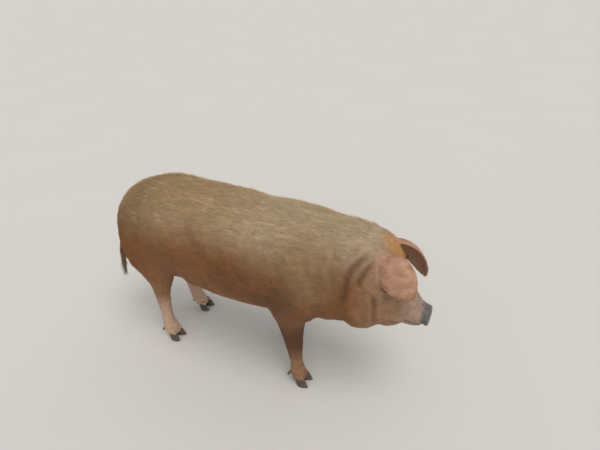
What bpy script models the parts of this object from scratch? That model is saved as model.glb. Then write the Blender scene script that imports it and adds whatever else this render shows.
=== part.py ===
"""A Duroc sow that stands with its head held low, as a life-size still model.

The flesh is made whole from lofted forms, then parted with thin cuts into torso, neck, head
and legs. Ears, eyes, snout disc, tail and claws are pieces of their own that meet the flesh
across a small gap. Metres, +Z up, +X towards the head, the sow's right side at -Y.
"""
import math
from collections import namedtuple

import bmesh
import bpy
import numpy as np
from mathutils import Matrix, Vector
from mathutils.bvhtree import BVHTree

GAP = 0.0003                 # air that touching nodes keep between them
VOXEL = 0.009                # grain of the merged flesh
FLESH_TRIANGLES = 7600       # of the whole flesh before it is parted
HEAD_START_X = 0.66          # the head is left finer than the rest from here on
HEAD_FINENESS = 0.01         # how much more an edge of the head weighs in thinning
ROUND = 32                   # points round one section of the body
LIMB_ROUND = 20              # points round one section of a limb

HIND_FOOT_X = -0.373         # middle of the hind feet
NEAR_FORE_X = 0.373          # right forefoot, set forward
FAR_FORE_X = 0.200           # left forefoot, set back
HALF_STANCE = 0.129          # from the middle plane to the middle of a foot
FAR_HOCK_BACK = 0.055        # how far the left hock stands behind the right one

DISC_CENTER = (0.900, 0.473)  # x and z of the middle of the snout disc's face
DISC_RADIUS = 0.046
DISC_PITCH = math.radians(2)  # how far the disc looks down
DISC_DEPTH = 0.017
DISC_FLATNESS = 0.84         # height of the disc over its width

EYE = (0.752, 0.640)          # x and z of the eye on the side of the face
EYE_AXIS = (0.45, 0.84, 0.30)  # where an eye looks, for the left side
EYE_RADIUS = 0.0125
EYE_BULGE = 0.0045           # how far the ball stands out of the face
LID_RADIUS = 0.0130          # middle of the rim of the lids
LID_THICKNESS = 0.0046
LID_FLATNESS = 0.74          # height of the opening of the lids over its length
LID_SINK = 0.0022            # how far the middle of the lids lies under the face

MOUTH = ((0.766, 0.498), (0.790, 0.482), (0.818, 0.469), (0.846, 0.459), (0.870, 0.452))
MOUTH_GROOVE = 0.0045
NOSTRIL = (0.0105, 0.0075, 0.0120)  # half height, half width and depth
NOSTRIL_SPREAD = 0.0195

EAR_THICKNESS = 0.0075
EAR_ACROSS = 13              # points across an ear
EAR_ALONG = 12               # points along an ear

NECK_CUT = ((0.535, 0.83), (0.475, 0.38))     # x and z of the cut above and below
HEAD_CUT = ((0.668, 0.80), (0.652, 0.40))
HIND_CUT = (-0.250, 0.128)   # x of the cut round a hind leg, from its foot
FORE_CUT = (-0.135, 0.115)
GROIN = (0.020, 0.385)       # y and z of the inner edge of the cut, for the left side
ARMPIT = (0.068, 0.362)
HIP = (0.35, 0.56)           # y and z of the outer edge of the cut
ELBOW = (0.35, 0.55)

CLAW_LENGTH = 0.034
CLAW_WIDTH = 0.0185          # half of it
CLAW_HEIGHT = 0.048
CLAW_AHEAD = 0.012           # middle of a claw ahead of the middle of its foot
CLAW_SPREAD = 0.0225         # middle of a claw from the middle of its foot
CLAW_TAPER = 0.22            # share lost from the sole to the coronet
CLAW_LEVELS = (0.0, 0.35, 0.75, 1.0)
DEWCLAW_RADIUS = 0.0090
DEWCLAW_BACK = 0.033
DEWCLAW_TOP = 0.070
DEWCLAW_DROP = 0.024

TEAT_PAIRS = 6
TEAT_SPAN = (-0.200, 0.232)  # x of the last and the first pair
TEAT_RADIUS = 0.0105
TEAT_LENGTH = 0.026
TEAT_ASIDE = (0.078, 0.044)  # from the middle of the belly, last and first pair
TEAT_LEVEL = 0.361           # height of the belly beside the middle
TEAT_ROOT = 0.020            # how deep a teat starts inside the belly

TAIL_RADIUS = 0.0110
TAIL_TAPER = (1.25, 0.50)    # of the radius, at the root and the end
TUFT_LOCKS = 12
TUFT_START = 0.60            # share of the tail that is free of the tuft
LOCK_SIDES = 4
LOCK_LENGTH = 0.085
LOCK_WIDTHS = (0.0055, 0.0065, 0.0045, 0.0010)
LOCK_FLATNESS = 0.45

Section = namedtuple("Section", "top low half_width egg square")
Joint = namedtuple("Joint", "z x y along across")
Ear = namedtuple("Ear", "name root bend tip across half_width")
Mass = namedtuple("Mass", "name x aside z sizes pitch")

BODY = (
    Section((-0.636, 0.625), (-0.634, 0.550), 0.036, 0.00, 2.0),
    Section((-0.612, 0.720), (-0.602, 0.465), 0.108, 0.00, 2.0),
    Section((-0.552, 0.795), (-0.528, 0.412), 0.168, 0.00, 2.1),
    Section((-0.440, 0.858), (-0.420, 0.388), 0.204, 0.00, 2.2),
    Section((-0.300, 0.883), (-0.280, 0.395), 0.214, 0.02, 2.3),
    Section((-0.140, 0.881), (-0.130, 0.352), 0.214, 0.05, 2.2),
    Section((0.040, 0.866), (0.040, 0.343), 0.222, 0.05, 2.2),
    Section((0.200, 0.853), (0.195, 0.352), 0.224, 0.03, 2.2),
    Section((0.340, 0.846), (0.325, 0.372), 0.219, 0.00, 2.2),
    Section((0.470, 0.834), (0.435, 0.370), 0.202, 0.00, 2.2),
    Section((0.598, 0.823), (0.545, 0.380), 0.184, 0.02, 2.2),
    Section((0.706, 0.797), (0.625, 0.394), 0.172, 0.08, 2.2),
    Section((0.766, 0.737), (0.675, 0.412), 0.148, 0.20, 2.3),
    Section((0.792, 0.670), (0.716, 0.418), 0.118, 0.20, 2.4),
    Section((0.814, 0.608), (0.758, 0.425), 0.086, 0.10, 2.3),
    Section((0.842, 0.562), (0.802, 0.430), 0.064, 0.03, 2.2),
    Section((0.868, 0.528), (0.840, 0.431), 0.052, 0.00, 2.1),
    Section((0.904, 0.512), (0.880, 0.438), 0.044, 0.00, 2.1),
)

MASSES = (
    Mass("ham", -0.421, 0.106, 0.571, (0.160, 0.112, 0.198), 0.20),
    Mass("jowl", 0.650, 0.090, 0.520, (0.098, 0.088, 0.106), 0.50),
    Mass("cheek", 0.720, 0.064, 0.526, (0.108, 0.062, 0.088), 0.60),
    Mass("cheekbone", 0.716, 0.078, 0.618, (0.082, 0.038, 0.046), 0.55),
    Mass("brow", 0.742, 0.046, 0.662, (0.066, 0.034, 0.034), 0.98),
    Mass("ear_base", 0.668, 0.072, 0.704, (0.078, 0.044, 0.056), 0.60),
    Mass("upper_lip", 0.828, 0.036, 0.478, (0.060, 0.024, 0.026), 0.50),
    Mass("lower_lip", 0.820, 0.030, 0.450, (0.052, 0.026, 0.017), 0.20),
)
SHOULDER = Mass("shoulder", 0.010, 0.140, 0.580, (0.135, 0.088, 0.190), -0.15)
FAR_SHOULDER_X = 0.30        # the far shoulder lies ahead of its foot

HIND_LEG = (
    Joint(0.020, 0.000, 0.000, 0.030, 0.036),
    Joint(0.045, -0.006, 0.000, 0.035, 0.040),
    Joint(0.075, -0.014, 0.000, 0.037, 0.038),
    Joint(0.130, -0.020, 0.000, 0.034, 0.031),
    Joint(0.175, -0.020, 0.000, 0.034, 0.031),
    Joint(0.220, -0.021, 0.000, 0.038, 0.034),
    Joint(0.275, -0.019, 0.000, 0.043, 0.038),
    Joint(0.335, -0.013, -0.002, 0.056, 0.050),
    Joint(0.410, -0.016, -0.006, 0.089, 0.075),
    Joint(0.520, -0.028, -0.016, 0.151, 0.096),
    Joint(0.680, -0.040, -0.030, 0.175, 0.090),
)

FORE_LEG = (
    Joint(0.020, 0.000, 0.000, 0.030, 0.036),
    Joint(0.045, -0.005, 0.000, 0.035, 0.039),
    Joint(0.072, -0.010, 0.000, 0.035, 0.036),
    Joint(0.120, -0.015, 0.001, 0.032, 0.031),
    Joint(0.185, -0.018, 0.002, 0.037, 0.036),
    Joint(0.220, -0.018, 0.003, 0.042, 0.040),
    Joint(0.280, -0.022, 0.004, 0.050, 0.044),
    Joint(0.360, -0.026, 0.004, 0.070, 0.054),
    Joint(0.450, -0.024, 0.002, 0.108, 0.070),
    Joint(0.570, -0.010, -0.004, 0.135, 0.078),
    Joint(0.690, 0.010, -0.016, 0.115, 0.066),
)

EARS = (
    Ear("ear_right", (0.688, -0.084, 0.724), (0.782, -0.148, 0.772), (0.850, -0.138, 0.638),
        (-0.42, -0.40, -0.62), 0.080),
    Ear("ear_left", (0.706, 0.080, 0.738), (0.806, 0.112, 0.754), (0.836, 0.132, 0.560),
        (-0.42, 0.40, -0.55), 0.077),
)


def clear_scene():
    for thing in list(bpy.data.objects):
        bpy.data.objects.remove(thing, do_unlink=True)


def new_collection(name):
    made = bpy.data.collections.new(name)
    bpy.context.scene.collection.children.link(made)
    return made


def finish(name, color, roughness, metallic=0.0):
    made = bpy.data.materials.new(name)
    made.use_nodes = True
    shader = made.node_tree.nodes["Principled BSDF"]
    shader.inputs["Base Color"].default_value = (*color, 1.0)
    shader.inputs["Roughness"].default_value = roughness
    shader.inputs["Metallic"].default_value = metallic
    return made


def smooth_through(keys, count):
    """Evenly spread points on a smooth curve through rows of key numbers."""
    rows = np.array(keys, dtype=float)
    ends = np.vstack([2 * rows[0] - rows[1], rows, 2 * rows[-1] - rows[-2]])
    places = np.linspace(0, len(rows) - 1, count)
    result = []
    for place in places:
        first = min(int(place), len(rows) - 2)
        t = place - first
        a, b, c, d = ends[first:first + 4]
        result.append(0.5 * (2 * b + (c - a) * t + (2 * a - 5 * b + 4 * c - d) * t * t
                             + (3 * b - a - 3 * c + d) * t ** 3))
    return np.array(result)


def mesh_object(name, mesh, collection):
    made = bpy.data.objects.new(name, mesh)
    collection.objects.link(made)
    return made


def loft(name, rings, collection):
    """A closed form through rings of points, with a fan on each end."""
    form = bmesh.new()
    rows = [[form.verts.new(point) for point in ring] for ring in rings]
    around = len(rows[0])
    for lower, upper in zip(rows, rows[1:]):
        for i in range(around):
            j = (i + 1) % around
            form.faces.new((lower[i], lower[j], upper[j], upper[i]))
    for row in (rows[0], rows[-1]):
        hub = form.verts.new(sum((v.co for v in row), Vector()) / around)
        for i in range(around):
            form.faces.new((row[i], row[(i + 1) % around], hub))
    bmesh.ops.recalc_face_normals(form, faces=form.faces)
    mesh = bpy.data.meshes.new(name)
    form.to_mesh(mesh)
    form.free()
    return mesh_object(name, mesh, collection)


def powered(value, power):
    return math.copysign(abs(value) ** power, value)


def body_ring(top, low, half_width, egg, square):
    """A rounded section between its highest and lowest point, wider below where egg is set."""
    middle = (top + low) / 2
    reach = (top - low) / 2
    ring = []
    for i in range(ROUND):
        angle = 2 * math.pi * i / ROUND
        up = powered(math.cos(angle), 2 / square)
        out = powered(math.sin(angle), 2 / square) * (1 - egg * up)
        ring.append((middle[0] + up * reach[0], out * half_width, middle[1] + up * reach[1]))
    return ring


def body_loft(collection):
    keys = [(*s.top, *s.low, s.half_width, s.egg, s.square) for s in BODY]
    rows = smooth_through(keys, 3 * len(BODY))
    rings = [body_ring(r[0:2], r[2:4], max(r[4], 0.02), r[5], r[6]) for r in rows]
    return loft("trunk", rings, collection)


def leg_loft(name, joints, foot_x, side, hock_back, collection):
    """One leg from the foot up into the body; side is -1 on the right."""
    rows = smooth_through(joints, 3 * len(joints))
    rings = []
    for z, x, y, along, across in rows:
        back = hock_back * math.sin(math.pi * min(z / 0.56, 1.0)) ** 1.2
        ring = []
        for i in range(LIMB_ROUND):
            angle = 2 * math.pi * i / LIMB_ROUND
            ring.append((foot_x + x - back + along * math.cos(angle),
                         side * (HALF_STANCE + y) + across * math.sin(angle), z))
        rings.append(ring)
    return loft(name, rings, collection)


def ellipsoid(name, center, sizes, pitch, collection, segments=20):
    """A stretched ball, tipped nose down by pitch about the Y axis."""
    form = bmesh.new()
    place = Matrix.Translation(center) @ Matrix.Rotation(pitch, 4, "Y") @ Matrix.Diagonal((*sizes, 1))
    bmesh.ops.create_uvsphere(form, u_segments=segments, v_segments=segments // 2, radius=1.0, matrix=place)
    mesh = bpy.data.meshes.new(name)
    form.to_mesh(mesh)
    form.free()
    return mesh_object(name, mesh, collection)


def muscles(collection):
    """The masses that stand out of the trunk on both sides."""
    made = []
    for side in (-1, 1):
        fore_x = NEAR_FORE_X if side < 0 else FAR_SHOULDER_X
        for mass in (*MASSES, SHOULDER._replace(x=fore_x + SHOULDER.x)):
            center = (mass.x, side * mass.aside, mass.z)
            made.append(ellipsoid(mass.name, center, mass.sizes, mass.pitch, collection))
    return made


def apply_modifier(thing, kind, **settings):
    made = thing.modifiers.new(kind.lower(), kind)
    for key, value in settings.items():
        setattr(made, key, value)
    evaluated = thing.evaluated_get(bpy.context.evaluated_depsgraph_get())
    mesh = bpy.data.meshes.new_from_object(evaluated)
    thing.modifiers.clear()
    old = thing.data
    thing.data = mesh
    bpy.data.meshes.remove(old)
    return thing


def remove(thing):
    mesh = thing.data
    bpy.data.objects.remove(thing, do_unlink=True)
    bpy.data.meshes.remove(mesh)


def fuse(base, pieces, solver="EXACT"):
    """Join closed pieces to the base in one Boolean union, and remove them."""
    bunch = new_collection("bunch")
    for piece in pieces:
        for home in list(piece.users_collection):
            home.objects.unlink(piece)
        bunch.objects.link(piece)
    apply_modifier(base, "BOOLEAN", operation="UNION", operand_type="COLLECTION", collection=bunch,
                   solver=solver)
    for piece in pieces:
        remove(piece)
    bpy.data.collections.remove(bunch)
    return base


def boolean(base, cutter, operation):
    return apply_modifier(base, "BOOLEAN", operation=operation, object=cutter, solver="EXACT")


def copy_of(thing, name, collection):
    return mesh_object(name, thing.data.copy(), collection)


def grown(thing, distance, collection):
    """A copy whose surface stands out by a distance, to cut neighbours clear with."""
    made = copy_of(thing, "grown", collection)
    form = bmesh.new()
    form.from_mesh(made.data)
    form.normal_update()
    for vert in form.verts:
        vert.co += vert.normal * distance
    form.to_mesh(made.data)
    form.free()
    return made


def keep_largest(thing):
    """Keep only the largest closed surface, in clean triangles."""
    form = bmesh.new()
    form.from_mesh(thing.data)
    bmesh.ops.remove_doubles(form, verts=form.verts, dist=0.00002)
    bmesh.ops.dissolve_degenerate(form, edges=form.edges, dist=0.00002)
    bmesh.ops.triangulate(form, faces=form.faces)
    waiting = set(form.faces)
    groups = []
    while waiting:
        stack = [waiting.pop()]
        group = list(stack)
        while stack:
            for edge in stack.pop().edges:
                for face in edge.link_faces:
                    if face in waiting:
                        waiting.remove(face)
                        stack.append(face)
                        group.append(face)
        groups.append(group)
    groups.sort(key=lambda faces: sum(face.calc_area() for face in faces))
    spare = [face for group in groups[:-1] for face in group]
    bmesh.ops.delete(form, geom=spare, context="FACES")
    form.to_mesh(thing.data)
    form.free()
    return thing


def whole_flesh(work):
    """All flesh as one smooth closed surface."""
    trunk = body_loft(work)
    pieces = muscles(work)
    for side, name in ((-1, "right"), (1, "left")):
        hock_back = 0.0 if side < 0 else FAR_HOCK_BACK
        fore_x = NEAR_FORE_X if side < 0 else FAR_FORE_X
        pieces.append(leg_loft("hind_" + name, HIND_LEG, HIND_FOOT_X, side, hock_back, work))
        pieces.append(leg_loft("fore_" + name, FORE_LEG, fore_x, side, 0.0, work))
    flesh = fuse(trunk, pieces)
    apply_modifier(flesh, "REMESH", mode="VOXEL", voxel_size=VOXEL)
    keep_largest(flesh)
    apply_modifier(flesh, "SMOOTH", factor=0.5, iterations=7)
    count = 2 * len(flesh.data.polygons)
    plain = flesh.vertex_groups.new(name="plain")
    for vert in flesh.data.vertices:
        plain.add([vert.index], 1.0 if vert.co.x < HEAD_START_X else 0.5, "REPLACE")
    apply_modifier(flesh, "DECIMATE", decimate_type="COLLAPSE", ratio=FLESH_TRIANGLES / count,
                   vertex_group="plain", vertex_group_factor=HEAD_FINENESS)
    keep_largest(flesh)
    flesh.name = "flesh"
    return flesh


def slab(name, top, low, reach_x, collection, y_range=(-0.4, 0.4), ends=(1.2, -0.1)):
    """A cutter box ahead of the slanted plane through two points of the middle plane."""
    slope = (top[0] - low[0]) / (top[1] - low[1])
    form = bmesh.new()
    corners = []
    for z in ends[::-1]:
        start = low[0] + slope * (z - low[1])
        for x, y in ((start, y_range[0]), (reach_x, y_range[0]), (reach_x, y_range[1]), (start, y_range[1])):
            corners.append(form.verts.new((x, y, z)))
    bmesh.ops.convex_hull(form, input=corners)
    mesh = bpy.data.meshes.new(name)
    form.to_mesh(mesh)
    form.free()
    made = mesh_object(name, mesh, collection)
    made.hide_render = True
    made.display_type = "WIRE"
    return made


def leg_block(name, x_range, side, inner, outer, collection):
    """A cutter round one leg, whose lid rises outwards from the groin or the armpit."""
    form = bmesh.new()
    corners = []
    for x in x_range:
        for y, z in (inner, outer, (outer[0], -0.1), (inner[0], -0.1)):
            corners.append(form.verts.new((x, side * y, z)))
    bmesh.ops.convex_hull(form, input=corners)
    mesh = bpy.data.meshes.new(name)
    form.to_mesh(mesh)
    form.free()
    made = mesh_object(name, mesh, collection)
    made.hide_render = True
    made.display_type = "WIRE"
    return made


def part_flesh(flesh, work, parts):
    """Part the flesh into head, neck, torso and four legs, with thin cuts between them."""
    ahead_of_neck = slab("neck_cut", *NECK_CUT, 1.2, work)
    ahead_of_poll = slab("head_cut", *HEAD_CUT, 1.2, work)
    head = boolean(copy_of(flesh, "head", parts), ahead_of_poll, "INTERSECT")
    neck = boolean(copy_of(flesh, "neck", parts), ahead_of_neck, "INTERSECT")
    poll_grown = grown(ahead_of_poll, GAP, work)
    neck_grown = grown(ahead_of_neck, GAP, work)
    boolean(neck, poll_grown, "DIFFERENCE")
    torso = boolean(copy_of(flesh, "torso", parts), neck_grown, "DIFFERENCE")
    nodes = [head, neck]
    for side, word in ((-1, "right"), (1, "left")):
        fore_x = NEAR_FORE_X if side < 0 else FAR_FORE_X
        blocks = (
            ("leg_hind_" + word, [HIND_FOOT_X + x for x in HIND_CUT], GROIN, HIP),
            ("leg_front_" + word, [fore_x + x for x in FORE_CUT], ARMPIT, ELBOW),
        )
        for name, x_range, inner, outer in blocks:
            block = leg_block(name + "_cut", x_range, side, inner, outer, work)
            nodes.append(boolean(copy_of(flesh, name, parts), block, "INTERSECT"))
            block_grown = grown(block, GAP, work)
            boolean(torso, block_grown, "DIFFERENCE")
            remove(block)
            remove(block_grown)
    for cutter in (ahead_of_neck, ahead_of_poll, poll_grown, neck_grown):
        remove(cutter)
    nodes.append(torso)
    for node in nodes:
        keep_largest(node)
    return {node.name: node for node in nodes}


def claw_rings(center_x, center_y, splay):
    """Outlines of one claw from its flat sole up to the coronet, its toe turned out by splay."""
    rings = []
    for level in CLAW_LEVELS:
        shrink = 1 - CLAW_TAPER * level
        ring = []
        for i in range(14):
            angle = 2 * math.pi * i / 14
            ahead = math.cos(angle)
            reach = CLAW_LENGTH * (1.15 if ahead > 0 else 0.72) * shrink
            narrow = 1 - 0.34 * max(ahead, 0.0) ** 2
            x = center_x + reach * ahead - 0.014 * level
            aside = CLAW_WIDTH * shrink * narrow * math.sin(angle)
            y = center_y + splay * 0.10 * (x - center_x) + aside
            ring.append((x, y, CLAW_HEIGHT * level * (1.0 + 0.16 * ahead)))
        rings.append(ring)
    return rings


def dewclaw_rings(center_x, center_y, out):
    """A small cone behind the pastern that points down, back and a little outwards."""
    rings = []
    for level in (0.0, 0.5, 1.0):
        radius = DEWCLAW_RADIUS * (1 - 0.40 * level)
        ring = []
        for i in range(10):
            angle = 2 * math.pi * i / 10
            ring.append((center_x - 0.018 * level + radius * 0.85 * math.cos(angle),
                         center_y + 0.005 * out * level + radius * math.sin(angle),
                         DEWCLAW_TOP - DEWCLAW_DROP * level - radius * 0.5 * math.cos(angle)))
        rings.append(ring)
    return rings


def claws(nodes, work, parts):
    """Two claws and two dewclaws on each foot, let into the flesh above them."""
    made = []
    feet = (
        ("hind_right", HIND_FOOT_X, -1), ("hind_left", HIND_FOOT_X, 1),
        ("front_right", NEAR_FORE_X, -1), ("front_left", FAR_FORE_X, 1),
    )
    for word, foot_x, side in feet:
        leg = nodes["leg_" + word]
        for out, place in ((side, "outer"), (-side, "inner")):
            y = side * HALF_STANCE + out * CLAW_SPREAD
            claw = loft(f"claw_{word}_{place}", claw_rings(foot_x + CLAW_AHEAD, y, out), parts)
            dewclaw = loft(f"dewclaw_{word}_{place}", dewclaw_rings(foot_x - DEWCLAW_BACK, y, out), parts)
            for piece in (claw, dewclaw):
                keep_largest(piece)
                cutter = grown(piece, GAP, work)
                boolean(leg, cutter, "DIFFERENCE")
                remove(cutter)
                made.append(piece)
        keep_largest(leg)
    return made


def disc_place():
    """The frame of the snout disc: its face's middle, with local Z along its outward axis."""
    turn = Matrix.Rotation(math.pi / 2 + DISC_PITCH, 4, "Y")
    return Matrix.Translation((DISC_CENTER[0], 0.0, DISC_CENTER[1])) @ turn


def disc_ring(radius, height, flat=DISC_FLATNESS):
    place = disc_place()
    ring = []
    for i in range(24):
        angle = 2 * math.pi * i / 24
        ring.append(place @ Vector((flat * radius * math.cos(angle), radius * math.sin(angle), height)))
    return ring


def snout(nodes, work, parts):
    """The snout disc with its raised rim and two nostrils, on the cut front of the head."""
    profile = ((0.955, -DISC_DEPTH), (1.00, -0.6 * DISC_DEPTH), (1.00, -0.2 * DISC_DEPTH), (0.93, 0.0),
               (0.80, 0.0005))
    disc = loft("snout", [disc_ring(DISC_RADIUS * part, height) for part, height in profile], parts)
    for side in (-1, 1):
        nostril = ellipsoid("nostril", (0.0, side * NOSTRIL_SPREAD, 0.0), NOSTRIL, 0.0, work, segments=12)
        nostril.data.transform(disc_place())
        boolean(disc, nostril, "DIFFERENCE")
        remove(nostril)
    keep_largest(disc)
    room = loft("room", [disc_ring(3 * DISC_RADIUS, -DISC_DEPTH - GAP), disc_ring(3 * DISC_RADIUS, 0.2)], work)
    boolean(nodes["head"], room, "DIFFERENCE")
    remove(room)
    return disc


def face_point(tree, x, z, side):
    """The point on the side of the face at a length and height."""
    start = Vector((x, side * 0.4, z))
    return tree.ray_cast(start, Vector((0.0, -side, 0.0)))[0]


def tree_of(thing):
    form = bmesh.new()
    form.from_mesh(thing.data)
    tree = BVHTree.FromBMesh(form)
    form.free()
    return tree


def mouth(head, tree, work):
    """The line of the mouth, a shallow groove on each side from its corner to the front."""
    for side in (-1, 1):
        line = smooth_through(MOUTH, 9)
        points = [face_point(tree, x, z, side) for x, z in line]
        radii = [MOUTH_GROOVE * (0.5 + 0.5 * math.sin(math.pi * min(0.15 + i / 7, 0.5)))
                 for i in range(len(points))]
        groove = tapered("groove", points, radii, 6, work)
        boolean(head, groove, "DIFFERENCE")
        remove(groove)


def ring_form(name, center, axis, collection):
    """The lids of an eye as one flattened ring round the axis of the eye."""
    form = bmesh.new()
    turn = Vector(axis).to_track_quat("Z", "Y").to_matrix().to_4x4()
    place = Matrix.Translation(center) @ turn @ Matrix.Diagonal((1.0, LID_FLATNESS, 1.0, 1.0))
    around, across = 18, 8
    rows = []
    for i in range(around):
        a = 2 * math.pi * i / around
        row = []
        for j in range(across):
            b = 2 * math.pi * j / across
            reach = LID_RADIUS + LID_THICKNESS * math.cos(b)
            row.append(form.verts.new(place @ Vector((reach * math.cos(a), reach * math.sin(a),
                                                      LID_THICKNESS * math.sin(b)))))
        rows.append(row)
    for i in range(around):
        for j in range(across):
            p, q = (i + 1) % around, (j + 1) % across
            form.faces.new((rows[i][j], rows[p][j], rows[p][q], rows[i][q]))
    bmesh.ops.recalc_face_normals(form, faces=form.faces)
    mesh = bpy.data.meshes.new(name)
    form.to_mesh(mesh)
    form.free()
    return mesh_object(name, mesh, collection)


def eyes(head, tree, work, parts):
    """Eyeballs in sockets of the head, with a raised rim of lids round each."""
    made = []
    for side, word in ((-1, "right"), (1, "left")):
        surface = face_point(tree, EYE[0], EYE[1], side)
        axis = Vector((EYE_AXIS[0], side * EYE_AXIS[1], EYE_AXIS[2])).normalized()
        center = surface - axis * (EYE_RADIUS - EYE_BULGE)
        lids = ring_form("lids", surface - axis * LID_SINK, axis, work)
        fuse(head, [lids])
        socket = ellipsoid("socket", center, [EYE_RADIUS + GAP] * 3, 0.0, work, segments=16)
        boolean(head, socket, "DIFFERENCE")
        remove(socket)
        made.append(ellipsoid("eye_" + word, center, [EYE_RADIUS] * 3, 0.0, parts, segments=16))
    return made


def ear_width(t):
    """Half width along the ear as a share of its widest, with a rounded point."""
    grow = 0.50 + 0.50 * math.sin(math.pi / 2 * min(t / 0.42, 1.0))
    fade = math.sqrt(max(1.0 - max((t - 0.42) / 0.585, 0.0) ** 2.1, 0.0))
    return grow * fade


def ear_sheet(ear, work):
    """The ear's outer face: a sheet bent along a curve and curled to a cup near its root."""
    root, bend, tip = (Vector(p) for p in (ear.root, ear.bend, ear.tip))
    side = -1.0 if ear.root[1] < 0 else 1.0
    form = bmesh.new()
    rows = []
    for i in range(EAR_ALONG):
        t = i / (EAR_ALONG - 1)
        center = (1 - t) ** 2 * root + 2 * t * (1 - t) * bend + t * t * tip
        along = (2 * (1 - t) * (bend - root) + 2 * t * (tip - bend)).normalized()
        across = Vector(ear.across)
        across = (across - along * across.dot(along)).normalized()
        normal = across.cross(along) * -side
        curl = math.radians(78 - 52 * t)
        half = max(ear.half_width * ear_width(t), 0.006)
        radius = half / curl
        row = []
        for j in range(EAR_ACROSS):
            angle = curl * (2 * j / (EAR_ACROSS - 1) - 1)
            offset = across * (radius * math.sin(angle)) + normal * (radius * (math.cos(angle) - 1))
            row.append(form.verts.new(center + offset))
        rows.append(row)
    for near, far in zip(rows, rows[1:]):
        for j in range(EAR_ACROSS - 1):
            form.faces.new((near[j], near[j + 1], far[j + 1], far[j]))
    mesh = bpy.data.meshes.new(ear.name)
    form.to_mesh(mesh)
    form.free()
    return mesh_object(ear.name, mesh, work)


def ears(flesh_grown, parts):
    made = []
    for ear in EARS:
        sheet = ear_sheet(ear, parts)
        apply_modifier(sheet, "SOLIDIFY", thickness=EAR_THICKNESS, offset=0.0, use_even_offset=False)
        boolean(sheet, flesh_grown, "DIFFERENCE")
        made.append(keep_largest(sheet))
    return made


def teats(torso, work):
    """Rows of teats along the belly, fused to the torso."""
    pieces = []
    for i in range(TEAT_PAIRS):
        share = i / (TEAT_PAIRS - 1)
        x = TEAT_SPAN[0] + (TEAT_SPAN[1] - TEAT_SPAN[0]) * share
        aside = TEAT_ASIDE[0] + (TEAT_ASIDE[1] - TEAT_ASIDE[0]) * share
        for side in (-1, 1):
            y = side * (aside + 0.003 * math.sin(1.7 * i))
            top = TEAT_LEVEL + 0.35 * (x - 0.04) ** 2 + TEAT_ROOT
            start = Vector((x, y, top))
            end = Vector((x - 0.004, y * 1.10, top - 0.016 - TEAT_LENGTH))
            radii = [TEAT_RADIUS * 1.5, TEAT_RADIUS, TEAT_RADIUS * 0.7]
            pieces.append(tapered("teat", [start, (start + end) / 2, end], radii, 8, work))
    fuse(torso, pieces)


def tapered(name, points, radii, sides, collection, flat=1.0):
    """A closed limb of round or flattened sections along a run of points."""
    rings = []
    side_way = Vector((0.31, 0.95, 0.0)).normalized()
    for i, (point, radius) in enumerate(zip(points, radii)):
        ahead = (points[min(i + 1, len(points) - 1)] - points[max(i - 1, 0)]).normalized()
        u = side_way.cross(ahead).normalized()
        v = ahead.cross(u)
        ring = []
        for j in range(sides):
            angle = 2 * math.pi * j / sides
            ring.append(point + u * (radius * math.cos(angle)) + v * (radius * flat * math.sin(angle)))
        rings.append(ring)
    return loft(name, rings, collection)


def tail_path(count):
    keys = ((-0.592, 0.000, 0.660), (-0.634, -0.004, 0.642), (-0.662, -0.022, 0.590),
            (-0.676, -0.050, 0.500), (-0.685, -0.064, 0.410), (-0.6957, -0.072, 0.320))
    return [Vector(p) for p in smooth_through(keys, count)]


def tail(flesh_grown, work, parts):
    """The tail swung to the right, with a tuft of flat locks over its last third."""
    path = tail_path(13)
    last = len(path) - 1
    thick, thin = TAIL_TAPER
    radii = [TAIL_RADIUS * (thick + (thin - thick) * i / last) for i in range(len(path))]
    made = tapered("tail", path, radii, 10, parts)
    fuse(made, [tuft_lock(path, i, work) for i in range(TUFT_LOCKS)])
    boolean(made, flesh_grown, "DIFFERENCE")
    return keep_largest(made)


def tuft_lock(path, i, work):
    """One flat lock of the tuft, from inside the tail outwards and down."""
    last = len(path) - 1
    share = i / (TUFT_LOCKS - 1)
    start = path[int(round(last * (TUFT_START + (0.98 - TUFT_START) * share)))]
    angle = 2.4 * i
    out = Vector((math.cos(angle), math.sin(angle), 0.0))
    length = LOCK_LENGTH + 0.035 * math.sin(1.9 * i) + 0.035 * share
    points = []
    for step in range(len(LOCK_WIDTHS)):
        t = step / (len(LOCK_WIDTHS) - 1)
        spread = 0.004 + 0.013 * math.sin(math.pi * min(t + 0.15, 1.0))
        points.append(start + out * spread + Vector((-0.004 * t, -0.004 * t, -length * t)))
    return tapered("lock", points, LOCK_WIDTHS, LOCK_SIDES, work, flat=LOCK_FLATNESS)


def center_on_origin(nodes):
    """Bring the middle of the whole model's box over the origin, with the soles at z 0."""
    corners = np.array([v.co for node in nodes for v in node.data.vertices])
    low, high = corners.min(axis=0), corners.max(axis=0)
    shift = Vector((-(low[0] + high[0]) / 2, -(low[1] + high[1]) / 2, -low[2]))
    for node in nodes:
        node.data.transform(Matrix.Translation(shift))


def dress(parts):
    skin = finish("hide", (0.36, 0.22, 0.12), 0.62)
    leg = finish("leg_hide", (0.45, 0.27, 0.19), 0.62)
    ear = finish("ear_hide", (0.50, 0.31, 0.22), 0.60)
    disc = finish("snout_skin", (0.12, 0.12, 0.12), 0.35)
    horn = finish("horn", (0.12, 0.10, 0.085), 0.50)
    eye = finish("eyeball", (0.03, 0.018, 0.010), 0.08)
    choices = (("leg_", leg), ("ear_", ear), ("snout", disc), ("claw_", horn), ("dewclaw_", horn), ("eye_", eye))
    for node in parts.objects:
        node.data.materials.clear()
        chosen = [material for start, material in choices if node.name.startswith(start)]
        node.data.materials.append(chosen[0] if chosen else skin)
        node.data.shade_smooth()
        node.data.set_sharp_from_angle(angle=math.radians(40))


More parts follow.
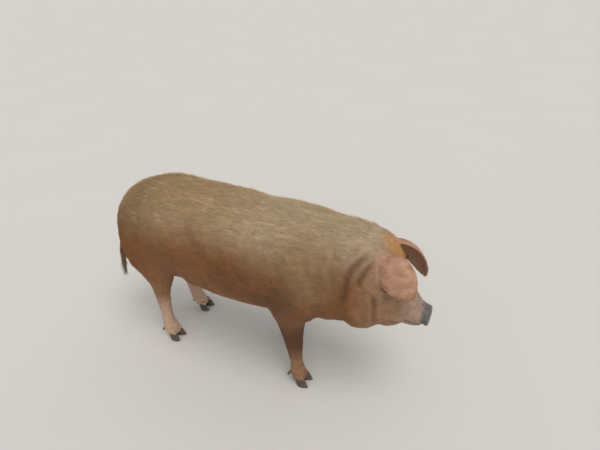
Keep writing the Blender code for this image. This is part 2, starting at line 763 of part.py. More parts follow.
def build_sow():
    clear_scene()
    parts = new_collection("duroc_sow")
    work = new_collection("cutters")
    flesh = whole_flesh(work)
    flesh_grown = grown(flesh, GAP * 1.3, work)
    nodes = part_flesh(flesh, work, parts)
    snout(nodes, work, parts)
    face = tree_of(flesh)
    mouth(nodes["head"], face, work)
    eyes(nodes["head"], face, work, parts)
    keep_largest(nodes["head"])
    teats(nodes["torso"], work)
    keep_largest(nodes["torso"])
    claws(nodes, work, parts)
    ears(flesh_grown, parts)
    tail(flesh_grown, work, parts)
    remove(flesh)
    remove(flesh_grown)
    center_on_origin(list(parts.objects))
    dress(parts)


build_sow()
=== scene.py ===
"""A Duroc sow as a life-size still model: one skin, a coat of bristles, eyes and horn claws.

Metres, +Z up, +X towards the head, the sow's right side at -Y. The skin is made from the
packed flesh and lies inside it by the depth of the coat. The coat is solid mesh.
"""

import logging
import math
from collections.abc import Iterable, Iterator
from contextlib import contextmanager
from dataclasses import dataclass, replace
from enum import Enum

import bmesh
import bpy
import numpy as np
from bpy.types import Material, Mesh, Node, NodeSocket, Object
from mathutils import Matrix, Vector
from mathutils.bvhtree import BVHTree


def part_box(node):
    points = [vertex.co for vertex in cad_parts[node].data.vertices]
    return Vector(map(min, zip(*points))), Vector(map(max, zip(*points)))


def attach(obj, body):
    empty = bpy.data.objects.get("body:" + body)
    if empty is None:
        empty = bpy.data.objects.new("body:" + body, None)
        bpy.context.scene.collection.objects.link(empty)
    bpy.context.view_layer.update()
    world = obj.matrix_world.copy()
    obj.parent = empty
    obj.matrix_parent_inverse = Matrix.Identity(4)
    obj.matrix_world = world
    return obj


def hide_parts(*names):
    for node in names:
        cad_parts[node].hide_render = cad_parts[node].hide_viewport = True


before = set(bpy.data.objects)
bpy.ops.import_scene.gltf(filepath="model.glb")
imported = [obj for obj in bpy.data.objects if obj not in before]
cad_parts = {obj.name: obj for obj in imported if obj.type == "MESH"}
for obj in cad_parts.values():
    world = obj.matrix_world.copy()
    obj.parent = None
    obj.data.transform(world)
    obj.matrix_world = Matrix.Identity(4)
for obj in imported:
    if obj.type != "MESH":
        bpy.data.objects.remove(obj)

LOG = logging.getLogger("sow")
Rows = np.ndarray
Color = tuple[float, float, float]
Point = tuple[float, float, float]
Line = tuple[tuple[float, ...], ...]

# The x at which each foot stands, and how far the legs are from the middle
FEET = {"hind_right": -0.4665, "hind_left": -0.4665, "front_right": 0.2795, "front_left": 0.1065}
LEG_ASIDE = 0.129
EARS = ("ear_right", "ear_left")
# How many waves add up to one field of gentle hills, and the distance that merges vertices
WAVES = 14
MERGE = 0.00002


class Side(Enum):
    """The two sides of the sow, as the sign of Y."""

    RIGHT = -1
    LEFT = 1


def step(values: Rows, low: float, high: float) -> Rows:
    """A smooth step of the values, 0 below low and 1 above high, or the other way round."""
    t = np.clip((values - low) / (high - low), 0.0, 1.0)
    return t * t * (3.0 - 2.0 * t)


def bell(distance: Rows, width: float) -> Rows:
    """A soft bump, 1 at distance 0, that has faded at about twice the width."""
    return np.exp(-((distance / width) ** 2))


def unit(vectors: Rows) -> Rows:
    """The same directions with length 1."""
    length = np.linalg.norm(vectors, axis=-1, keepdims=True)
    return vectors / np.maximum(length, 1e-9)


def blend(first: Rows, second: Rows, share: Rows) -> Rows:
    """The first where the share is 0, the second where it is 1, and a mixture between."""
    return first * (1.0 - share) + second * share


def flat_to(vectors: Rows, normals: Rows) -> Rows:
    """The vectors laid into the tangent planes of the normals, with length 1."""
    inner = (vectors * normals).sum(axis=1, keepdims=True)
    return unit(vectors - inner * normals)


def wander(points: Rows, pitch: float, seed: int) -> Rows:
    """A smooth seeded field of numbers from about -1 to 1.

    Args:
        points: Places, one a row.
        pitch: The usual distance between two hills of the field.
        seed: Picks the field.

    Returns:
        One number a point.
    """
    draw = np.random.default_rng(seed)
    total = np.zeros(len(points))
    for _ in range(WAVES):
        way = unit(draw.normal(size=(1, 3)))[0] * draw.uniform(0.7, 1.5) * 2.0 * math.pi / pitch
        total += np.sin(points @ way + draw.uniform(0.0, 2.0 * math.pi))
    return total / 4.0


def line_distance(points: Rows, line: Line) -> tuple[Rows, Rows]:
    """How far points lie from a bent line.

    Args:
        points: Places, one a row.
        line: Corners of the line, as x, y and z, or as x and z for a line in side view.

    Returns:
        The distance of each point, and how far along the line it is nearest, from 0 to 1.
    """
    corners = np.array(line)
    if corners.shape[1] == 2:
        points = points[:, [0, 2]]
    best = np.full(len(points), 1e9)
    share = np.zeros(len(points))
    for i, (start, end) in enumerate(zip(corners[:-1], corners[1:])):
        way = end - start
        t = np.clip((points - start) @ way / (way @ way), 0.0, 1.0)
        distance = np.linalg.norm(points - start - t[:, None] * way, axis=1)
        nearer = distance < best
        best = np.where(nearer, distance, best)
        share = np.where(nearer, (i + t) / (len(line) - 1), share)
    return best, share


def read(parts: bpy.types.bpy_prop_collection, key: str, width: int = 3,
         kind: type = float) -> Rows:
    """One property of all vertices, edges or other parts of a mesh, one part a row.

    Args:
        parts: The vertices, edges or other parts.
        key: The property's name.
        width: How many numbers a part has.
        kind: The type of the numbers.

    Returns:
        The numbers, one part a row.
    """
    flat = np.empty(len(parts) * width, kind)
    parts.foreach_get(key, flat)
    return flat.reshape(-1, width)


def points_of(mesh: Mesh) -> Rows:
    """The places of a mesh's vertices, one a row."""
    return read(mesh.vertices, "co")


def normals_of(mesh: Mesh) -> Rows:
    """The outward directions at a mesh's vertices, one a row."""
    return read(mesh.vertex_normals, "vector")


def put_points(mesh: Mesh, points: Rows) -> None:
    """Move a mesh's vertices to new places."""
    mesh.vertices.foreach_set("co", points.ravel())
    mesh.update()


def put_numbers(mesh: Mesh, name: str, numbers: Rows) -> None:
    """Store one number a vertex under a name that a material can read."""
    made = mesh.attributes.new(name, "FLOAT", "POINT")
    made.data.foreach_set("value", numbers.astype(np.float32))


def solid_mesh(name: str, points: Rows, faces: Rows) -> Mesh:
    """A mesh of triangles from arrays, shaded smooth.

    Args:
        name: The mesh's name.
        points: Its vertices, one a row.
        faces: Its triangles, as three vertices a row.

    Returns:
        The mesh.
    """
    mesh = bpy.data.meshes.new(name)
    mesh.vertices.add(len(points))
    mesh.vertices.foreach_set("co", points.ravel())
    mesh.loops.add(faces.size)
    mesh.loops.foreach_set("vertex_index", faces.ravel().astype(np.int32))
    mesh.polygons.add(len(faces))
    mesh.polygons.foreach_set("loop_start", np.arange(0, faces.size, 3, dtype=np.int32))
    mesh.update(calc_edges=True)
    mesh.shade_smooth()
    return mesh


def node_distance(points: Rows, names: Iterable[str], reach: float) -> Rows:
    """How far places lie from the surface of some CAD nodes, up to a reach.

    Args:
        points: Places, one a row.
        names: The CAD nodes.
        reach: Distances past this one are given as this one.

    Returns:
        One distance a place.
    """
    best = np.full(len(points), reach)
    for name in names:
        low, high = (np.array(corner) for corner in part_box(name))
        close = np.flatnonzero(((points > low - reach) & (points < high + reach)).all(axis=1))
        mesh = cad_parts[name].data
        tree = BVHTree.FromPolygons([v.co for v in mesh.vertices],
                                    [tuple(face.vertices) for face in mesh.polygons])
        for i in close:
            found = tree.find_nearest(points[i], float(best[i]))
            if found[0] is not None:
                best[i] = found[3]
    return best


def claw_names(*feet: str) -> list[str]:
    """The CAD nodes of the claws and dewclaws of some feet."""
    return [f"{kind}_{foot}_{place}" for kind in ("claw", "dewclaw") for foot in feet
            for place in ("outer", "inner")]


def select_only(*things: Object) -> None:
    """Select these objects and nothing else, the first one active.

    Args:
        things: The objects.
    """
    bpy.ops.object.select_all(action="DESELECT")
    for thing in things:
        thing.select_set(True)
    bpy.context.view_layer.objects.active = things[0]


@contextmanager
def editing(thing: Object, action: str | None = "SELECT") -> Iterator[None]:
    """Hold one object in edit mode, after this action on the selection of its parts.

    Args:
        thing: The object.
        action: What select_all does first, or None for nothing.

    Returns:
        A context that lasts as long as edit mode does.
    """
    select_only(thing)
    bpy.ops.object.mode_set(mode="EDIT")
    if action:
        bpy.ops.mesh.select_all(action=action)
    yield
    bpy.ops.object.mode_set(mode="OBJECT")


def add_object(name: str, data: bpy.types.ID) -> Object:
    """A new object of a mesh, lamp or camera, in the scene.

    Args:
        name: Its name.
        data: The mesh, lamp or camera.

    Returns:
        The object.
    """
    made = bpy.data.objects.new(name, data)
    bpy.context.scene.collection.objects.link(made)
    return made


def join(name: str, pieces: list[Object]) -> Object:
    """One object made of several.

    Args:
        name: Its name.
        pieces: The objects that go into it.

    Returns:
        The object.
    """
    select_only(*pieces)
    bpy.ops.object.join()
    pieces[0].name = name
    return pieces[0]


def dress(thing: Object, material: Material) -> None:
    """Give an object one material, shaded smooth.

    Args:
        thing: The object.
        material: Its material.
    """
    thing.data.materials.clear()
    thing.data.materials.append(material)
    thing.data.shade_smooth()


def apply_modifier(thing: Object, kind: str, **settings: object) -> None:
    """Add one modifier with its settings, and apply it.

    Args:
        thing: The object.
        kind: The modifier's Blender type.
        settings: The modifier's properties.
    """
    made = thing.modifiers.new(kind.lower(), kind)
    for key, value in settings.items():
        setattr(made, key, value)
    select_only(thing)
    bpy.ops.object.modifier_apply(modifier=made.name)


def copy_of_node(name: str, made_name: str) -> Object:
    """A merged copy of a CAD node's mesh as a new object, selected and active.

    Args:
        name: The CAD node.
        made_name: The copy's name.

    Returns:
        The copy.
    """
    made = add_object(made_name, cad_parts[name].data.copy())
    with editing(made):
        bpy.ops.mesh.remove_doubles(threshold=MERGE)
    return made


def keep_largest(thing: Object) -> None:
    """Keep only the closed surface with the most vertices.

    Args:
        thing: The object, which is changed.
    """
    form = bmesh.new()
    form.from_mesh(thing.data)
    waiting = set(form.verts)
    best: list[bmesh.types.BMVert] = []
    while waiting:
        stack = [waiting.pop()]
        group = list(stack)
        while stack:
            for edge in stack.pop().link_edges:
                for vert in edge.verts:
                    if vert in waiting:
                        waiting.remove(vert)
                        stack.append(vert)
                        group.append(vert)
        if len(group) > len(best):
            best = group
    kept = set(best)
    bmesh.ops.delete(form, geom=[v for v in form.verts if v not in kept], context="VERTS")
    form.to_mesh(thing.data)
    form.free()


# Materials


class Level:
    """A number that varies over a surface, so that maths in Python adds Math nodes."""

    def __init__(self, bench: "Bench", socket: NodeSocket) -> None:
        """Keep the material's bench and the socket that gives the number."""
        self.bench = bench
        self.socket = socket

    def _with(self, operation: str, first: object, second: object) -> "Level":
        """The outcome of one Math node on two numbers or sockets."""
        return self.bench.level("ShaderNodeMath", {"operation": operation}, {0: first, 1: second})

    def __add__(self, other: object) -> "Level":
        """Self plus other."""
        return self._with("ADD", self, other)

    def __sub__(self, other: object) -> "Level":
        """Self less other."""
        return self._with("SUBTRACT", self, other)

    def __rsub__(self, other: object) -> "Level":
        """Other less self."""
        return self._with("SUBTRACT", other, self)

    def __mul__(self, other: object) -> "Level":
        """Self times other."""
        return self._with("MULTIPLY", self, other)

    # A sum and a product are the same either way round
    __radd__ = __add__
    __rmul__ = __mul__

    def above(self, low: float, high: float) -> "Level":
        """A smooth step, 0 at low and 1 at high, where low may be the larger one.

        Args:
            low: Where the step starts.
            high: Where it ends.

        Returns:
            The step, from 0 to 1.
        """
        ends = (low, high, 0.0, 1.0) if low < high else (high, low, 1.0, 0.0)
        sockets = ("From Min", "From Max", "To Min", "To Max")
        return self.bench.level("ShaderNodeMapRange", {"interpolation_type": "SMOOTHSTEP"},
                                {"Value": self, **dict(zip(sockets, ends))})


class Bench:
    """One material under construction."""

    def __init__(self, name: str) -> None:
        """Start a material with a shader, an output and the object's own coordinates.

        Args:
            name: The material's name.
        """
        self.material = bpy.data.materials.new(name)
        self.material.use_nodes = True
        self.tree = self.material.node_tree
        self.tree.nodes.clear()
        self.shader = self.node("ShaderNodeBsdfPrincipled")
        self.node("ShaderNodeOutputMaterial", {}, {"Surface": self.shader.outputs["BSDF"]})
        self.place = self.node("ShaderNodeTexCoord").outputs["Object"]
        apart = self.node("ShaderNodeSeparateXYZ", {}, {0: self.place})
        self.x, self.y, self.z = (Level(self, apart.outputs[i]) for i in range(3))

    def node(self, kind: str, settings: dict[str, object] | None = None,
             inputs: dict[object, object] | None = None) -> Node:
        """Add one node.

        Args:
            kind: The node's Blender type.
            settings: Properties of the node, set before its sockets are filled.
            inputs: For each input, by name or place, a value, a socket or a Level.

        Returns:
            The new node.
        """
        made = self.tree.nodes.new(kind)
        for key, value in (settings or {}).items():
            setattr(made, key, value)
        self._fill(made, inputs or {})
        return made

    def level(self, kind: str, settings: dict[str, object], inputs: dict[object, object],
              output: object = 0) -> Level:
        """Add one node, as above, and give the number that one of its outputs holds."""
        return Level(self, self.node(kind, settings, inputs).outputs[output])

    def _fill(self, node: Node, inputs: dict[object, object]) -> None:
        """Give a node's inputs their values, or link them to the sockets that give them.

        Args:
            node: The node.
            inputs: For each input, by name or place, a value, a socket or a Level.
        """
        for key, value in inputs.items():
            given = value.socket if isinstance(value, Level) else value
            if isinstance(given, NodeSocket):
                self.tree.links.new(given, node.inputs[key])
            else:
                node.inputs[key].default_value = given

    def noise(self, pitch: float, detail: float = 2.0, stretch: Point = (1.0, 1.0, 1.0),
              roughness: float = 0.5) -> Level:
        """Noise in the object's space.

        Args:
            pitch: The usual distance between two hills, in metres.
            detail: How many finer layers are added.
            stretch: How much longer the hills are along each axis.
            roughness: The strength of the finer layers.

        Returns:
            A number around 0.5.
        """
        scale = tuple(1.0 / s for s in stretch)
        spot = self.node("ShaderNodeMapping", {}, {"Vector": self.place, "Scale": scale})
        return self.level("ShaderNodeTexNoise", {}, {
            "Vector": spot.outputs[0], "Scale": 1.0 / pitch, "Detail": detail,
            "Roughness": roughness})

    def number(self, name: str) -> Level:
        """A number that the mesh stores a vertex."""
        return self.level("ShaderNodeAttribute", {"attribute_name": name}, {}, "Fac")

    def mix(self, factor: object, first: object, second: object,
            blend: str = "MIX") -> NodeSocket:
        """Blend two colours, each a socket or three numbers, by a factor.

        Args:
            factor: The share of the second colour.
            first: One colour.
            second: The other colour.
            blend: Blender's name for the way they mix.

        Returns:
            The mixed colour.
        """
        colors = [(*c, 1.0) if isinstance(c, tuple) else c for c in (first, second)]
        made = self.node("ShaderNodeMix", {"data_type": "RGBA", "blend_type": blend},
                         {0: factor, 6: colors[0], 7: colors[1]})
        return made.outputs[2]

    def cover(self, color: object, *layers: tuple[Level, object]) -> NodeSocket:
        """Lay other colours over one in turn.

        Args:
            color: The first colour.
            layers: For each further colour, the share that it covers, and the colour.

        Returns:
            The colour with all of them.
        """
        for share, over in layers:
            color = self.mix(share, color, over)
        return color

    def dim(self, color: NodeSocket, level: Level) -> NodeSocket:
        """A colour times a grey as strong as the level."""
        grey = self.node("ShaderNodeCombineXYZ", {}, {0: level, 1: level, 2: level})
        return self.mix(1.0, color, grey.outputs[0], "MULTIPLY")

    def near(self, center: Point, inner: float, outer: float) -> Level:
        """1 within the inner distance of a place, fading to 0 at the outer one.

        Args:
            center: The place.
            inner: Where the fading starts, in metres.
            outer: Where it ends, in metres.

        Returns:
            The nearness, from 0 to 1.
        """
        away = self.level("ShaderNodeVectorMath", {"operation": "DISTANCE"},
                          {0: self.place, 1: center}, "Value")
        return away.above(outer, inner)

    def bump(self, height: Level, depth: float, under: NodeSocket | None = None) -> NodeSocket:
        """Raise the surface by a height from 0 to 1, as far as depth in metres.

        Args:
            height: The height.
            depth: What a height of 1 stands for, in metres.
            under: A normal that is bumped already, if any.

        Returns:
            The bumped normal.
        """
        inputs: dict[object, object] = {"Height": height, "Distance": depth, "Strength": 1.0}
        if under is not None:
            inputs["Normal"] = under
        return self.node("ShaderNodeBump", {}, inputs).outputs[0]

    def shine(self, color: object, roughness: object, normal: object = None,
              **fixed: float) -> Material:
        """Fill the shader's sockets and give the material.

        Args:
            color: The base colour, as a socket or three numbers.
            roughness: The roughness, as a Level or a number.
            normal: The bumped normal, if any.
            fixed: Plain numbers for other sockets, with _ for each space in the name.

        Returns:
            The finished material.
        """
        values = {"Base Color": (*color, 1.0) if isinstance(color, tuple) else color,
                  "Roughness": roughness}
        if normal is not None:
            values["Normal"] = normal
        values.update({key.replace("_", " "): value for key, value in fixed.items()})
        self._fill(self.shader, values)
        return self.material


@dataclass(frozen=True)
class Markings:
    """The colours of the hide, shared by the skin and the coat, with painted light and shade in them.
    """

    # Paler back, withers and shoulder over a darker flank: the hair's own tones with painted sheen on
    # top and painted shade on the side
    back: Color = (0.280, 0.190, 0.107)
    withers: Color = (0.350, 0.268, 0.180)
    rump: Color = (0.210, 0.138, 0.072)
    flank: Color = (0.172, 0.066, 0.015)
    low: Color = (0.205, 0.092, 0.038)
    shoulder: Color = (0.215, 0.134, 0.064)
    # Dark patches low on the shoulder and behind it: darker hair with painted shade under the body
    elbow_hair_and_shade: Color = (0.092, 0.031, 0.007)
    rear: Color = (0.210, 0.075, 0.026)
    face: Color = (0.272, 0.153, 0.084)
    muzzle: Color = (0.285, 0.200, 0.148)
    # A painted pool of sunlight on the orange hair between the ears
    crown_sunlight: Color = (0.420, 0.190, 0.052)
    ear: Color = (0.385, 0.214, 0.137)
    ear_dark: Color = (0.290, 0.148, 0.088)
    hind_top: Color = (0.220, 0.107, 0.041)
    # The forelegs are darker than the hind legs: darker hair at the top, and painted shade all down
    # the leg
    fore_top_hair_and_shade: Color = (0.082, 0.029, 0.009)
    hind_low: Color = (0.430, 0.285, 0.200)
    fore_low_shaded: Color = (0.235, 0.122, 0.066)
    tail: Color = (0.190, 0.075, 0.036)
    tuft: Color = (0.170, 0.125, 0.088)
    streak: Color = (0.480, 0.375, 0.242)
    ruddy: Color = (0.200, 0.066, 0.021)
    # Painted shade in the folds of the hide
    fold: Color = (0.110, 0.042, 0.017)

    def paint(self, bench: Bench) -> NodeSocket:
        """The colour of the hide at each place, mottling included, with painted shade in the folds
        and painted light and shade elsewhere.

        Limits in above and near are metres along an axis or from a place, or noise from 0 to 1.

        Args:
            bench: The material that the nodes are added to.

        Returns:
            A colour socket.
        """
        cloud = bench.noise(0.24) - 0.5
        height = bench.z + cloud * 0.10
        head = bench.x + cloud * 0.06
        fore = bench.x.above(-0.20, 0.0)
        shank = bench.z + cloud * 0.10 + fore * 0.08
        top = bench.cover(self.back, (bench.x.above(-0.20, 0.30), self.withers),
                          (bench.x.above(-0.20, -0.60), self.rump))
        # The paler shoulder patch carries painted sheen; the dark patches low on it and behind it
        # carry painted shade over darker hair
        patches = [(bench.near((x, side.value * aside, z), inner, outer) * share, patch)
                   for side in Side for x, aside, z, inner, outer, share, patch in (
                       (0.33, 0.18, 0.66, 0.02, 0.27, 0.85, self.shoulder),
                       (0.22, 0.20, 0.51, 0.01, 0.20, 0.85, self.elbow_hair_and_shade),
                       (0.02, 0.22, 0.56, 0.02, 0.16, 0.45, self.elbow_hair_and_shade))]
        blotches = bench.noise(0.085).above(0.46, 0.64)
        flank = bench.z.above(0.68, 0.58) * bench.z.above(0.36, 0.44)
        streaks = bench.noise(0.013, 2.0, (7.0, 1.6, 1.6)).above(0.56, 0.72)
        ruffled = bench.near((0.17, -0.09, 0.83), 0.04, 0.24) * 0.45 + 0.42
        veins = bench.noise(0.030, 3.0, (1.6, 1.0, 1.0)).above(0.40, 0.66)
        color = bench.cover(
            self.low,
            # Painted shade darkens the middle of the side, and painted sheen lightens the top
            (height.above(0.36, 0.56), self.flank),
            (height.above(0.62, 0.82), top),
            *patches,
            (bench.near((-0.70, 0.0, 0.50), 0.08, 0.26) * 0.75, self.rear),
            (blotches * flank * 0.50, self.ruddy),
            (head.above(0.50, 0.62) * bench.z.above(0.82, 0.70) * 0.9, self.face),
            (head.above(0.66, 0.77), self.muzzle),
            # Painted sunlight on the orange hair between the ears
            (bench.near((0.664, 0.02, 0.752), 0.02, 0.110) * 0.75, self.crown_sunlight),
            # The forelegs take darker colours than the hind legs: darker hair at the top and painted
            # shade all down
            ((bench.z + cloud * 0.05).above(0.43, 0.30),
             bench.mix(fore, self.hind_top, self.fore_top_hair_and_shade)),
            (shank.above(0.33, 0.20), bench.mix(fore, self.hind_low, self.fore_low_shaded)),
            (streaks * ruffled * bench.z.above(0.70, 0.82), self.streak),
            (bench.number("ear"), bench.mix(veins * 0.8, self.ear, self.ear_dark)),
            (bench.number("tail"), bench.mix(bench.z.above(0.44, 0.36), self.tail, self.tuft)),
            # Painted shade in the folds
            (bench.number("fold") * 0.75, self.fold))
        coarse = bench.noise(0.032, 3.0, (1.8, 1.0, 1.0)).above(0.34, 0.66)
        fine = bench.noise(0.012, 2.0, (2.2, 1.0, 1.0)).above(0.32, 0.68)
        return bench.dim(color, coarse * 0.17 + fine * 0.14 + 0.845)


@dataclass(frozen=True)
class SkinFinish:
    """Bare hide under the coat, wet dark snout disc, pink inner ears, and painted shade in the
    nostrils and along the mouth.
    """

    disc: Color = (0.080, 0.071, 0.068)
    # Near black: painted shade in the nostrils and along the line of the mouth
    nostril: Color = (0.012, 0.009, 0.008)
    lid: Color = (0.105, 0.052, 0.037)
    inner_ear: Color = (0.440, 0.255, 0.175)
    teat: Color = (0.290, 0.150, 0.105)

    def material(self) -> Material:
        """Build the skin's material.

        Returns:
            The material.
        """
        bench = Bench("sow_skin")
        nose, lid = bench.number("nose"), bench.number("lid")
        pores = bench.noise(0.0024, 1.0)
        blotches = bench.noise(0.014).above(0.30, 0.70)
        bright = tuple(1.7 * c for c in self.disc)
        color = bench.cover(
            Markings().paint(bench),
            (bench.number("cup") * 0.75, self.inner_ear),
            (bench.number("teat"), self.teat),
            (lid, self.lid),
            (nose, bench.mix(blotches * 0.6 + pores * 0.3, self.disc, bright)),
            # Painted shade in the nostrils and along the mouth
            (bench.number("nostril"), self.nostril))
        creases = bench.noise(0.0050, 3.0, roughness=0.6)
        hairs = bench.noise(0.0018, 2.0, (9.0, 1.0, 2.2), 0.6)
        wrinkles = bench.noise(0.012, 3.0, (1.0, 1.0, 1.6))
        normal = bench.bump(wrinkles, 0.0012)
        normal = bench.bump(hairs * (1.0 - nose), 0.0014, normal)
        normal = bench.bump(pores * nose, 0.0006, normal)
        normal = bench.bump(creases * nose, 0.0016, normal)
        rough = 0.62 - nose * 0.36 - lid * 0.10
        return bench.shine(color, rough, normal, Specular_IOR_Level=0.42)


@dataclass(frozen=True)
class CoatFinish:
    """Bristles in the hide's colours, paler and more golden towards their tips."""

    tip: Color = (0.58, 0.39, 0.17)

    def material(self) -> Material:
        """Build the coat's material.

        Returns:
            The material.
        """
        bench = Bench("sow_bristle")
        color = Markings().paint(bench)
        along = bench.number("along")
        bright = bench.mix(1.0, color, (1.9, 1.9, 1.9), "MULTIPLY")
        bright = bench.mix(0.35, bright, self.tip)
        # Tips are paler; the pale number adds paler tufts, with painted light on the loose topline
        # tufts and the ear rims
        color = bench.mix(along * 0.22 + bench.number("pale"), color, bright)
        color = bench.dim(color, 0.86 + bench.number("shade") * 0.42 + along * 0.12)
        return bench.shine(color, 0.52, Specular_IOR_Level=0.20)


@dataclass(frozen=True)
class EyeFinish:
    """A dark brown eye under a wet cornea."""

    pupil: Color = (0.004, 0.003, 0.003)
    iris: Color = (0.105, 0.044, 0.016)
    rim: Color = (0.020, 0.012, 0.009)
    white: Color = (0.20, 0.130, 0.100)

    def material(self) -> Material:
        """Build the eye's material, which reads the angle from the middle of the pupil.

        Returns:
            The material.
        """
        bench = Bench("sow_eye")
        angle = bench.number("angle")
        iris = bench.mix(bench.noise(0.0011) * 0.6, self.rim, self.iris)
        color = bench.cover(self.pupil, (angle.above(17.0, 20.0), iris),
                            (angle.above(42.0, 47.0), self.rim),
                            (angle.above(50.0, 58.0), self.white))
        return bench.shine(color, 0.09, Specular_IOR_Level=0.16)


@dataclass(frozen=True)
class HornFinish:
    """Grey-brown horn of the claws, with growth rings, streaks and dry soil low down."""

    dark: Color = (0.052, 0.042, 0.034)
    pale: Color = (0.165, 0.128, 0.095)
    soil: Color = (0.130, 0.092, 0.062)

    def material(self) -> Material:
        """Build the horn's material.

        Returns:
            The material.
        """
        bench = Bench("sow_horn")
        streaks = bench.noise(0.0060, 2.0, (1.0, 1.0, 9.0))
        rings = bench.noise(0.0060, 1.0, (9.0, 9.0, 1.0))
        color = bench.mix(streaks.above(0.42, 0.75) * 0.6, self.dark, self.pale)
        color = bench.mix(bench.z.above(0.030, 0.002) * bench.noise(0.012, 3.0), color, self.soil)
        normal = bench.bump(rings, 0.0006)
        normal = bench.bump(streaks, 0.0002, normal)
        return bench.shine(color, 0.42, normal)


@dataclass(frozen=True)
class FloorFinish:
    """A plain pale floor."""

    color: Color = (0.60, 0.59, 0.58)

    def material(self) -> Material:
        """Build the floor's material.

        Returns:
            The material.
        """
        bench = Bench("pale_floor")
        tone = bench.noise(0.9, 3.0)
        color = bench.mix(tone, self.color, tuple(0.96 * c for c in self.color))
        return bench.shine(color, 0.85, Specular_IOR_Level=0.15)


# The skin


@dataclass(frozen=True)
class Groove:
    """A fold that is pressed into the hide along a line seen from the side.

    The line is in x and z. Ridge is how far the hide swells on both sides of it, and dark is how
    strongly painted shade darkens the fold.
    """

    line: Line
    width: float
    depth: float
    ridge: float = 0.0
    dark: float = 1.0
    aside: float = 0.03
    sides: tuple[int, ...] = (-1, 1)


# The line, width, depth, ridge and painted shade of each fold, some of them on one side only
GROOVES = (
    Groove(((0.592, 0.775), (0.559, 0.748), (0.531, 0.716), (0.519, 0.678), (0.510, 0.605),
            (0.496, 0.560), (0.478, 0.520)), 0.013, 0.0105, 0.0045),
    Groove(((0.606, 0.752), (0.584, 0.716), (0.566, 0.680), (0.560, 0.640)), 0.011, 0.0070, 0.0030),
    Groove(((0.470, 0.776), (0.455, 0.722), (0.450, 0.660)), 0.016, 0.0045, 0.0025, 0.35),
    Groove(((0.615, 0.640), (0.620, 0.579), (0.622, 0.513), (0.618, 0.455)), 0.012, 0.0075, 0.0030),
    Groove(((-0.250, 0.765), (-0.200, 0.725), (-0.155, 0.685), (-0.120, 0.645), (-0.098, 0.590)),
           0.044, 0.0090, 0.0, 0.26),
    Groove(((-0.330, 0.520), (-0.300, 0.455), (-0.318, 0.405)), 0.020, 0.0080, 0.0030, 0.8),
    Groove(((-0.560, 0.560), (-0.535, 0.470), (-0.505, 0.390), (-0.500, 0.320)),
           0.018, 0.0050, 0.0, 0.4),
    *(Groove(line, 0.020, 0.0060, 0.0025, 0.7, sides=(side,)) for side, line in (
        (-1, ((0.170, 0.560), (0.160, 0.480), (0.172, 0.420))),
        (-1, ((0.395, 0.560), (0.392, 0.480), (0.360, 0.420))),
        (1, ((0.010, 0.520), (0.000, 0.460), (0.010, 0.410))),
        (1, ((0.252, 0.530), (0.250, 0.460), (0.225, 0.410))))),
    Groove(((0.648, 0.607), (0.668, 0.596), (0.692, 0.598)), 0.0070, 0.0030, 0.0012, 0.5),
    Groove(((0.640, 0.668), (0.660, 0.676), (0.682, 0.672)), 0.0070, 0.0035, 0.0015, 0.5),
    Groove(((0.690, 0.585), (0.700, 0.550), (0.694, 0.520)), 0.010, 0.0040, 0.0015, 0.4),
)


